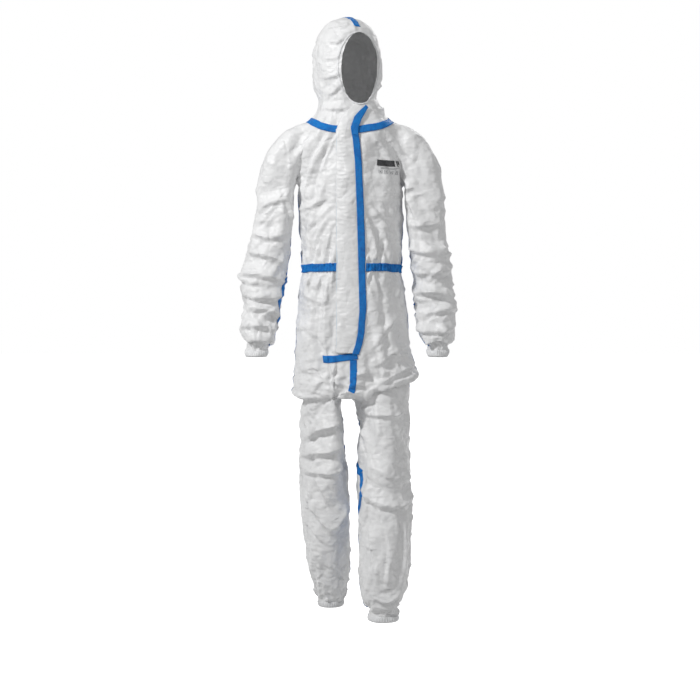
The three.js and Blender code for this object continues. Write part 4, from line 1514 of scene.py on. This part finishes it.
@dataclass
class Trim:
    """Tapes and bands laid along lines on the draped skin."""

    drape: Drape
    finishes: Finishes
    bend: dict[str, Bend]
    half: float = 0.0095
    wall: float = 0.0004
    lift: float = 0.0010

    def body_line(self, stops: Sequence[tuple[float, float]]) -> list[Vector]:
        """Find spots round the body.

        Args:
            stops: Angles in degrees from the front middle, positive to the wearer's left, and heights.

        Returns:
            A spot for each stop.
        """
        sections = self.drape.form.body()
        return [self.round_tube(sections, turn, z) for turn, z in stops]

    def round_tube(self, sections: Sequence[Section], turn: float, z: float) -> Vector:
        """Find a spot on a tube's outline.

        Args:
            sections: The tube's outlines.
            turn: The angle in degrees from the front middle, positive to the wearer's left.
            z: The height.

        Returns:
            The spot.
        """
        spot = self.drape.form.at_height(sections, z).point(math.radians(turn - 90))
        return Vector((spot.x, spot.y, z))

    def path(self, stops: Sequence[Vector], step: float = 0.0035) -> list[tuple[Vector, Vector]]:
        """Draw a smooth line of even spots through the stops, on the unsettled skin.

        Args:
            stops: Points near the skin.
            step: The distance between two spots.

        Returns:
            Each spot with the direction across the line there, along the skin.
        """
        raw = [stops[0]]
        for a, b in zip(stops, stops[1:]):
            count = max(1, math.ceil((b - a).length / step))
            raw += [a.lerp(b, k / count) for k in range(1, count + 1)]
        touched = [self.drape.touch(point) for point in raw]
        spots = [spot for spot, _ in touched]
        for _ in range(2):
            spots = [spots[0]] + [(a + 2 * b + c) / 4 for a, b, c in zip(spots, spots[1:], spots[2:])] + [spots[-1]]
        out = []
        for i, spot in enumerate(spots):
            ahead = spots[min(i + 2, len(spots) - 1)] - spots[max(i - 2, 0)]
            across = touched[i][1].cross(ahead)
            out.append((spot, across.normalized()))
        return out

    def tape(self, name: str, stops: Sequence[Vector], follows: str | Bend, node: str, half: float = 0.0,
             ripple: float = 0.0, over: float = 0.0, closed: bool = False) -> bpy.types.Object:
        """Lay a tape along a line on the skin.

        Args:
            name: The piece's name.
            stops: Points near the skin that the tape's middle passes.
            follows: The body or bend that it follows.
            node: The CAD node that it stands for.
            half: Half its width, if not the usual.
            ripple: The height of gathers across it.
            over: How much higher than usual it lies, where it crosses another tape.
            closed: Whether it is a loop.

        Returns:
            The tape's object.
        """
        half = half or self.half
        line = self.path(stops)
        last = len(line) - 1

        def place(share: float, across: float) -> Vector:
            """Return a point of the tape from its share along and across."""
            i = min(last, round(share * last))
            spot, side = line[0 if closed and i == last else i]
            waver = noise.noise(spot * 60.0) * 0.0006
            wave = math.sin(i * 2 * math.pi / 3.0 + noise.noise(spot * 30.0) * 2.5)
            puckers = ripple * (wave + 0.6) * (0.75 + 0.25 * abs(across))
            return self.drape.land(spot + side * (across * half + waver), self.lift + over + puckers)

        piece = grid_piece(name, last, 6, place, self.wall, closed)
        self.dress(piece, follows, node)
        return piece

    def dress(self, piece: bpy.types.Object, follows: str | Bend, node: str | None,
              material: bpy.types.Material | None = None, slot: str = "seam_tape") -> None:
        """Give a piece its finish, and tie it to its body where it follows a single one.

        Args:
            piece: The piece.
            follows: The body or bend that it follows.
            node: The CAD node that it stands for, if it has one.
            material: Its material, the seam tape's if none is given.
            slot: Its material slot's name; not used.
        """
        piece.data.materials.append(material or self.finishes.tape)
        if isinstance(follows, Bend):
            follows.on(piece)
        else:
            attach(piece, follows)
        if node:
            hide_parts(node)
        log.info("%s: %d faces", piece.name, len(piece.data.polygons))

    def lay_body(self) -> None:
        """Lay the tapes of the body."""
        form = self.drape.form
        low = form.leg_line
        front = [(0.009, -0.6665), (0.010, -0.70), (0.011, -0.74), (0.011, low + 0.006)]
        self.tape("centre_front_seam_tape", [Vector((x, -form.front_line(z), z)) for x, z in front], "torso",
                  "centre_front_tape")
        end = [(0.021, -0.655), (-0.010, -0.659), (-0.040, -0.663), (-0.088, -0.662)]
        self.tape("flap_end_seam_tape", [Vector((x, -form.front_line(z) + 2.2 * x * x, z)) for x, z in end], "torso",
                  "flap_end_tape", over=0.0006)
        for side in Side:
            s, word = side.value, side.label
            start = 16 if side is Side.LEFT else 17
            stops = [(s * turn, form.waist) for turn in (start, 30, 45, 60, 74, 86)]
            self.tape(f"waist_gather_tape_front_{word}", self.body_line(stops), "torso", f"waist_tape_front_{word}",
                      half=0.0115, ripple=0.0026)
            stops = [(s * turn, form.waist) for turn in (96, 110, 125, 140, 155, 173)]
            self.tape(f"waist_gather_tape_back_{word}", self.body_line(stops), "torso", f"waist_tape_back_{word}",
                      half=0.0115, ripple=0.0026)
            stops = [(s * 99, z) for z in (-0.196, -0.28, -0.36, -0.44, -0.52, -0.60, -0.68, -0.74)]
            stops.append((s * 95, low + (0.046 if side is Side.LEFT else 0.008)))
            self.tape(f"side_seam_tape_{word}", self.body_line(stops), "torso", f"side_tape_{word}")
        stops = [(180, z) for z in (-0.002, -0.05, -0.12, -0.25, -0.42, -0.55, -0.68, low)]
        self.tape("centre_back_seam_tape", self.body_line(stops), "torso", "centre_back_tape")
        self.lay_collar()

    def lay_collar(self) -> None:
        """Lay the tape round the collar seam."""
        slope = math.tan(self.drape.form.collar_tilt)
        ring = []
        for k in range(49):
            turn = 2 * math.pi * k / 48
            x, y = 0.110 * math.cos(turn), 0.089 * math.sin(turn)
            ring.append(Vector((x, y, slope * y - 0.004)))
        self.tape("collar_seam_tape", ring, "torso", "collar_tape", half=0.0098, over=0.0008, closed=True)

    def lay_hood(self) -> None:
        """Lay the tape over the hood's crown, from the face to the nape."""
        out = self.drape.into_hood().inverted()
        crown = self.drape.form.crown
        stops = [(-0.060, crown - 0.036), (-0.030, crown - 0.012), (0.005, crown - 0.004), (0.045, crown - 0.014),
                 (0.085, crown - 0.050), (0.112, crown - 0.110), (0.114, crown - 0.170), (0.094, 0.085), (0.086, 0.060)]
        self.tape("hood_crown_tape", [out @ Vector((0, y, z)) for y, z in stops], self.bend["neck"], "hood_seam_tape")

    def lay_limbs(self) -> None:
        """Lay the seam tapes inside the sleeves and legs."""
        form = self.drape.form
        for side in Side:
            s, word = side.value, side.label
            sleeve, leg = form.sleeve(side), form.leg(side)
            shown = 44 if side is Side.RIGHT else 6

            def turn(z: float, s: int = s, shown: float = shown) -> float:
                """Return the angle of the underarm seam at a height."""
                return -s * (104 - shown * math.exp(-(((z + 0.475) / 0.075) ** 4)))

            stops = [self.round_tube(sleeve, turn(z), z) for z in (-0.172, -0.22, -0.28, -0.34, -0.362)]
            self.tape(f"underarm_seam_tape_upper_{word}", stops, self.bend[f"shoulder_{word}"],
                      f"underarm_tape_upper_{word}")
            heights = (-0.362, -0.38, -0.40, -0.42, -0.48, -0.54, -0.56, -0.58, -0.60, -0.632)
            stops = [self.round_tube(sleeve, turn(z), z) for z in heights]
            self.tape(f"underarm_seam_tape_lower_{word}", stops, self.bend[f"elbow_{word}"],
                      f"underarm_tape_lower_{word}")
            seen = 40 if side is Side.LEFT else 4

            def bow(z: float, s: int = s, seen: float = seen) -> float:
                """Return the angle of the inseam at a height."""
                return -s * (106 - seen * math.exp(-(((z + 1.01) / 0.055) ** 4)))

            stops = [self.round_tube(leg, bow(z), z) for z in (-0.83, -0.87, -0.91, -0.95, -0.976)]
            self.tape(f"inseam_seam_tape_upper_{word}", stops, self.bend[f"hip_{word}"], f"inseam_tape_upper_{word}")
            heights = (-0.976, -1.0, -1.03, -1.06, -1.10, -1.2, -1.28, form.hem + 0.042)
            stops = [self.round_tube(leg, bow(z), z) for z in heights]
            self.tape(f"inseam_seam_tape_lower_{word}", stops, self.bend[f"knee_{word}"], f"inseam_tape_lower_{word}")


@dataclass
class Bands:
    """The gathered bands at face, cuffs and ankles."""

    trim: Trim

    def band(self, name: str, ring: Callable[[float, float], Vector], count: int, follows: str | Bend,
             node: str, deep: float = 0.0012, thick: float = 0.0018) -> None:
        """Make one gathered band.

        Args:
            name: The piece's name.
            ring: Gives a point near the skin from a turn in radians and a share across, -1 to 1.
            count: Faces round it.
            follows: The body or bend that it follows.
            node: The CAD node that it stands for.
            deep: The height of its puckers.
            thick: How far its middle stands out.
        """
        drape = self.trim.drape

        def place(share: float, across: float) -> Vector:
            """Return a point of the band from its share along and across."""
            turn = 2 * math.pi * (share % 1.0)
            spot = ring(turn, across)
            gather = math.sin(turn * count / 4.0) + 0.5 * noise.noise(spot * 90.0)
            roll = thick * (1 - across * across)
            return drape.land(spot, 0.0007 + roll + deep * gather * (1 - 0.4 * abs(across)))

        piece = grid_piece(name, count, 6, place, 0.0007, closed=True)
        self.trim.dress(piece, follows, node, self.trim.finishes.gathers, "elastic_band")

    def build(self) -> None:
        """Make every band."""
        trim, form = self.trim, self.trim.drape.form
        face, out = trim.drape.face, trim.drape.into_hood().inverted()
        middle, high = 0.5 * (face.low + face.high), 0.5 * (face.high - face.low)

        def oval(turn: float, across: float) -> Vector:
            """Return a point round the face opening."""
            grow = 0.0026 + 0.0026 * across
            x, z = (face.half + grow) * math.cos(turn), middle + (high + grow) * math.sin(turn)
            return out @ Vector((x, -0.080 + 6.0 * x * x, z))

        self.band("face_gather_band", oval, 168, trim.bend["neck"], "face_elastic", 0.0005, 0.0008)
        for side in Side:
            word = side.label
            sleeve, leg = form.sleeve(side), form.leg(side)

            def cuff(turn: float, across: float, tube: list[Section] = sleeve) -> Vector:
                """Return a point round the cuff."""
                return trim.round_tube(tube, math.degrees(turn), form.cuff + 0.012 + 0.0105 * across)

            def ankle(turn: float, across: float, tube: list[Section] = leg) -> Vector:
                """Return a point round the ankle hem."""
                return trim.round_tube(tube, math.degrees(turn), form.hem + 0.009 + 0.0080 * across)

            self.band(f"cuff_gather_band_{word}", cuff, 128, f"lower_sleeve_{word}", f"cuff_elastic_{word}")
            self.band(f"ankle_gather_band_{word}", ankle, 144, f"shin_{word}", f"ankle_elastic_{word}")


@dataclass
class Closure:
    """The storm flap with its tape, the chin fold and the zip under them."""

    trim: Trim
    free_edge: float = -0.038
    top: float = -0.030
    bottom: float = -0.6475
    pitch: float = 0.0021

    def seam_x(self, z: float) -> float:
        """Return where the flap's sewn edge runs at a height."""
        heights = [-0.648, -0.625, -0.590, -0.530, -0.400, -0.250, -0.120, -0.060, -0.030]
        places = [0.016, 0.024, 0.031, 0.035, 0.032, 0.028, 0.023, 0.017, 0.012]
        return float(np.interp(z, heights, places))

    def flap_point(self, x: float, z: float, rise: float) -> Vector:
        """Find a point over the front of the settled cloth.

        Args:
            x: The place across.
            z: The height.
            rise: How far it stands out.

        Returns:
            The point.
        """
        front = self.trim.drape.form.front_line(z)
        return self.trim.drape.land(Vector((x, -front * (1 - 1.15 * x * x / 0.0225), z)), rise)

    def flap(self) -> None:
        """Make the storm flap, free along its right edge."""

        def place(share: float, across: float) -> Vector:
            """Return a point of the flap."""
            z = self.top + (self.bottom - self.top) * share
            sewn = self.seam_x(z) + 0.001
            x = 0.5 * (self.free_edge + sewn) - 0.5 * (sewn - self.free_edge) * across
            arch = 0.0050 * (1 - across * across) + 0.0014 + 0.0016 * (0.5 * (1 + across))
            fade = 0.25 + 0.75 / (1 + math.exp((-0.24 - z) / 0.03))
            rungs = math.exp(-(((x + 0.020) / 0.011) ** 2)) * 0.0011 * fade
            wave = math.sin(z * 2 * math.pi / 0.0105 + 2.4 * noise.noise(Vector((0.0, x * 20, z * 30))))
            slow = 0.0010 * noise.noise(Vector((x * 30, 2.0, z * 22)))
            edge = 0.0010 * across * noise.noise(Vector((5.0, 1.0, z * 26))) if across > 0.6 else 0.0
            return self.flap_point(x, z, arch + rungs * wave + slow + edge)

        piece = grid_piece("storm_flap_cloth", 200, 22, place, 0.0008)
        self.trim.dress(piece, self.trim.bend["flap"], "storm_flap", self.trim.finishes.cloth, "coverall_fabric")

    def edge_tape(self) -> None:
        """Lay the blue tape over the flap's sewn edge."""
        trim = self.trim

        def place(share: float, across: float) -> Vector:
            """Return a point of the tape."""
            z = -0.022 + (self.bottom - 0.004 + 0.022) * share
            waver = 0.0007 * noise.noise(Vector((3.0, across, z * 24)))
            x = self.seam_x(z) + trim.half * across + waver
            hump = 0.0040 - 0.0016 * across + 0.0004 * noise.noise(Vector((x * 60, 0.0, z * 75)))
            return self.flap_point(x, z, hump)

        piece = grid_piece("flap_edge_seam_tape", 220, 7, place, 0.0005)
        trim.dress(piece, "torso", "flap_edge_tape")

    def chin(self) -> None:
        """Make the folded chin guard with its tape, from the collar up to the face opening."""
        trim = self.trim
        line = [(0.014, -0.046), (0.013, -0.024), (0.022, 0.000), (0.037, 0.018), (0.053, 0.036)]
        xs, zs = [x for x, _ in line], [z for _, z in line]

        def middle(share: float) -> tuple[float, float]:
            """Return the place across and the height of the tape's middle."""
            at = share * (len(line) - 1)
            return float(np.interp(at, range(len(line)), xs)), float(np.interp(at, range(len(line)), zs))

        def guard(share: float, across: float) -> Vector:
            """Return a point of the chin guard."""
            x, z = middle(share)
            free = -0.038 + 0.052 * share * share
            x = free + (x + 0.004 - free) * 0.5 * (1 + across)
            point = Vector((x, -0.088, z - 0.006 * across * share))
            return trim.drape.land(point, 0.0022 + 0.0018 * (1 - across * across) + 0.0007 * noise.noise(point * 55))

        def tape(share: float, across: float) -> Vector:
            """Return a point of the tape on the guard."""
            x, z = middle(share)
            half = trim.half * (1 - 0.55 * smoothstep(0.45, 1.0, np.array(share)))
            point = Vector((x + float(half) * across, -0.089, z - 0.004 * across))
            return trim.drape.land(point, 0.0056 + 0.0006 * noise.noise(point * 70))

        cloth = grid_piece("chin_guard_cloth", 30, 14, guard, 0.0006)
        trim.dress(cloth, trim.bend["neck"], "chin_flap", trim.finishes.cloth, "coverall_fabric")
        trim.dress(grid_piece("chin_guard_tape", 34, 6, tape, 0.0005), trim.bend["neck"], None)

    def zip(self) -> None:
        """Make the zip's two woven tapes, each with its row of coil."""
        form = self.trim.drape.form
        top, low = -0.034, -0.6395
        inner, outer, near, far = 0.0024, 0.0150, 0.0010, 0.0014
        for side in Side:
            s = side.value
            bm = bmesh.new()
            for vert in bmesh.ops.create_cube(bm, size=1.0)["verts"]:
                x = inner + (vert.co.x + 0.5) * (outer - inner)
                z = low + (vert.co.z + 0.5) * (top - low)
                vert.co = Vector((s * x, -form.front_line(z) - near - (0.5 - vert.co.y) * (far - near), z))
            count = int((top - low) / self.pitch)
            for k in range(count):
                z = low + (k + (0.5 if side is Side.LEFT else 0.0)) * self.pitch + 0.0006
                turn = Matrix.Translation((s * 0.0016, -form.front_line(z) - 0.0020, z))
                tooth = bmesh.ops.create_cube(bm, size=1.0, matrix=turn @ Matrix.Diagonal((0.0034, 0.0017, 0.0011, 1)))
                edges = list({edge for vert in tooth["verts"] for edge in vert.link_edges})
                bmesh.ops.bevel(bm, geom=edges, offset=0.00028, affect="EDGES", segments=1, profile=0.5, material=-1)
            bmesh.ops.recalc_face_normals(bm, faces=bm.faces)
            piece = new_object(f"zip_side_{side.label}", bm)
            piece.data.materials.append(self.trim.finishes.woven)
            piece.data.materials.append(self.trim.finishes.coil)
            for face in piece.data.polygons:
                face.material_index = 0 if face.index < 6 else 1
            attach(piece, "torso")
            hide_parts(f"zip_tape_{side.label}")
            log.info("%s: %d faces", piece.name, len(piece.data.polygons))

    def build(self) -> None:
        """Make the whole closure."""
        self.flap()
        self.edge_tape()
        self.chin()
        self.zip()


@dataclass
class ChestPrint:
    """A plain printed mark on the left breast: a dark bar, rules and small empty frames, with no words."""

    trim: Trim
    left: float = 0.079
    right: float = 0.139
    top: float = -0.114

    def rect(self, bm: bmesh.types.BMesh, box: tuple[float, float, float, float], slant: float = 0.0) -> None:
        """Print one slanted or upright rectangle on the cloth.

        Args:
            bm: The mesh that it is added to.
            box: Its left, right, top and bottom.
            slant: How far its bottom is moved to the left.
        """
        x0, x1, z0, z1 = box
        long = max(1, round((x1 - x0) / 0.003))
        wide = max(1, round((z0 - z1) / 0.003))
        sheet = bmesh.ops.create_grid(bm, x_segments=long, y_segments=wide, size=1.0)["verts"]
        drape = self.trim.drape
        for vert in sheet:
            s, t = 0.5 + 0.5 * vert.co.x, 0.5 + 0.5 * vert.co.y
            x, z = x0 + (x1 - x0) * s - slant * (1 - t), z1 + (z0 - z1) * t
            hit = drape.tree.ray_cast(Vector((x, -0.4, z)), Vector((0, 1, 0)))[0]
            vert.co = drape.land(hit or Vector((x, -0.08, z)), 0.0014)

    def build(self) -> None:
        """Print the dark bar as one piece and the pale rules and frames as another."""
        wide = self.right - self.left
        bar, rules = bmesh.new(), bmesh.new()
        self.rect(bar, (self.left, self.left + 0.74 * wide, self.top, self.top - 0.016))
        self.rect(bar, (self.left + 0.82 * wide, self.left + 0.88 * wide, self.top, self.top - 0.016), -0.004)
        self.rect(bar, (self.left + 0.95 * wide, self.right + 0.002, self.top, self.top - 0.010), -0.003)
        self.rect(rules, (self.left + 0.01, self.right - 0.002, self.top - 0.0195, self.top - 0.0205))
        self.rect(rules, (self.left + 0.01, self.right - 0.014, self.top - 0.0225, self.top - 0.0235))
        for k in range(4):
            x = self.left + 0.006 + 0.0135 * k
            high, low, thin = self.top - 0.027, self.top - 0.036, 0.0008
            self.rect(rules, (x, x + 0.009, high, high - thin))
            self.rect(rules, (x, x + 0.009, low + thin, low))
            self.rect(rules, (x, x + thin, high, low))
            self.rect(rules, (x + 0.009 - thin, x + 0.009, high, low))
            self.rect(rules, (x + 0.003, x + 0.006, high - 0.003, low + 0.003))
        trim = self.trim
        for name, bm, material, node in (("chest_print_bar", bar, trim.finishes.ink, "chest_label"),
                                         ("chest_print_rules", rules, trim.finishes.grey_ink, None)):
            piece = new_object(name, bm)
            thicken(piece, 0.0002)
            trim.dress(piece, "torso", node, material, "label_print")


# ---- The studio -----------------------------------------------------------------------------------
@dataclass(frozen=True)
class Studio:
    """A plain pale room with soft light, and the camera in front of the suit."""

    floor: float = -1.500
    aim: tuple[float, float, float] = (0.0, 0.0, -0.645)
    eye: tuple[float, float, float] = (0.0, -4.5, -0.387)
    lens: float = 81.8
    ambient: float = 0.36

    def camera(self) -> None:
        """Place the camera."""
        data = bpy.data.cameras.new("camera")
        data.lens = self.lens
        data.sensor_width = 36.0
        camera = bpy.data.objects.new("camera", data)
        bpy.context.scene.collection.objects.link(camera)
        camera.location = self.eye
        camera.rotation_euler = (Vector(self.aim) - Vector(self.eye)).to_track_quat("-Z", "Y").to_euler()
        bpy.context.scene.camera = camera
        bpy.context.scene.view_settings.view_transform = "Standard"

    def lamp(self, name: str, place: tuple[float, float, float], size: float, power: float,
             colour: tuple[float, float, float] = (1, 1, 1)) -> None:
        """Place one soft lamp aimed at the suit.

        Args:
            name: The lamp's name.
            place: Where it stands.
            size: Its width.
            power: Its power in watts.
            colour: Its colour.
        """
        data = bpy.data.lights.new(name, "AREA")
        data.shape = "SQUARE"
        data.size = size
        data.energy = power
        data.color = colour
        lamp = bpy.data.objects.new(name, data)
        bpy.context.scene.collection.objects.link(lamp)
        lamp.location = place
        lamp.rotation_euler = (Vector(self.aim) - Vector(place)).to_track_quat("-Z", "Y").to_euler()

    def room(self) -> None:
        """Lay the floor and light the suit."""
        bm = bmesh.new()
        bmesh.ops.create_grid(bm, x_segments=1, y_segments=1, size=14.0,
                              matrix=Matrix.Translation((0, 0, self.floor)))
        floor = new_object("floor", bm)
        shader = Shader("pale_floor")
        shader.set(Roughness=0.9, Specular_IOR_Level=0.05, Emission_Color=(1.0, 1.0, 1.0, 1.0), Emission_Strength=0.92)
        shader.colour(shader.ramp(shader.noise(1.5), ((0.3, (0.93, 0.93, 0.93)), (0.7, (0.95, 0.95, 0.95)))))
        floor.data.materials.append(shader.material)
        floor.visible_diffuse = False
        world = bpy.data.worlds.new("room")
        world.use_nodes = True
        back = world.node_tree.nodes["Background"]
        back.inputs["Color"].default_value = (1.0, 1.0, 1.0, 1.0)
        seen = world.node_tree.nodes.new("ShaderNodeLightPath")
        level = world.node_tree.nodes.new("ShaderNodeMapRange")
        level.inputs["To Min"].default_value = self.ambient
        level.inputs["To Max"].default_value = 1.0
        world.node_tree.links.new(seen.outputs["Is Camera Ray"], level.inputs["Value"])
        world.node_tree.links.new(level.outputs["Result"], back.inputs["Strength"])
        bpy.context.scene.world = world
        self.lamp("key", (-2.1, -1.8, 1.4), 0.35, 66.0)
        self.lamp("fill", (2.4, -2.0, 1.0), 1.4, 11.0)
        self.lamp("rim", (1.4, 2.4, 1.4), 1.2, 20.0)


def dress_kept_nodes(finishes: Finishes) -> None:
    """Give the CAD nodes that stay their finishes.

    Args:
        finishes: The suit's materials.
    """
    wanted = {"zip_slider": finishes.metal, "zip_puller": finishes.metal, "zip_bottom_stop": finishes.coil,
              "adhesive_strip": finishes.paper}
    for name, material in wanted.items():
        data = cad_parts[name].data
        data.materials.clear()
        data.materials.append(material)
        log.info("%s: kept, with %s", name, material.name)


def main() -> None:
    """Build the suit and the studio."""
    logging.basicConfig(level=logging.INFO, format="%(name)s %(message)s")
    Studio().camera()
    finishes = Finishes()
    drape = Drape()
    drape.build()
    bend = bends()
    Panels(drape, finishes, bend).cut()
    trim = Trim(drape, finishes, bend)
    trim.lay_body()
    trim.lay_hood()
    trim.lay_limbs()
    Bands(trim).build()
    Closure(trim).build()
    ChestPrint(trim).build()
    dress_kept_nodes(finishes)
    Studio().room()


if __name__ == "__main__":
    main()
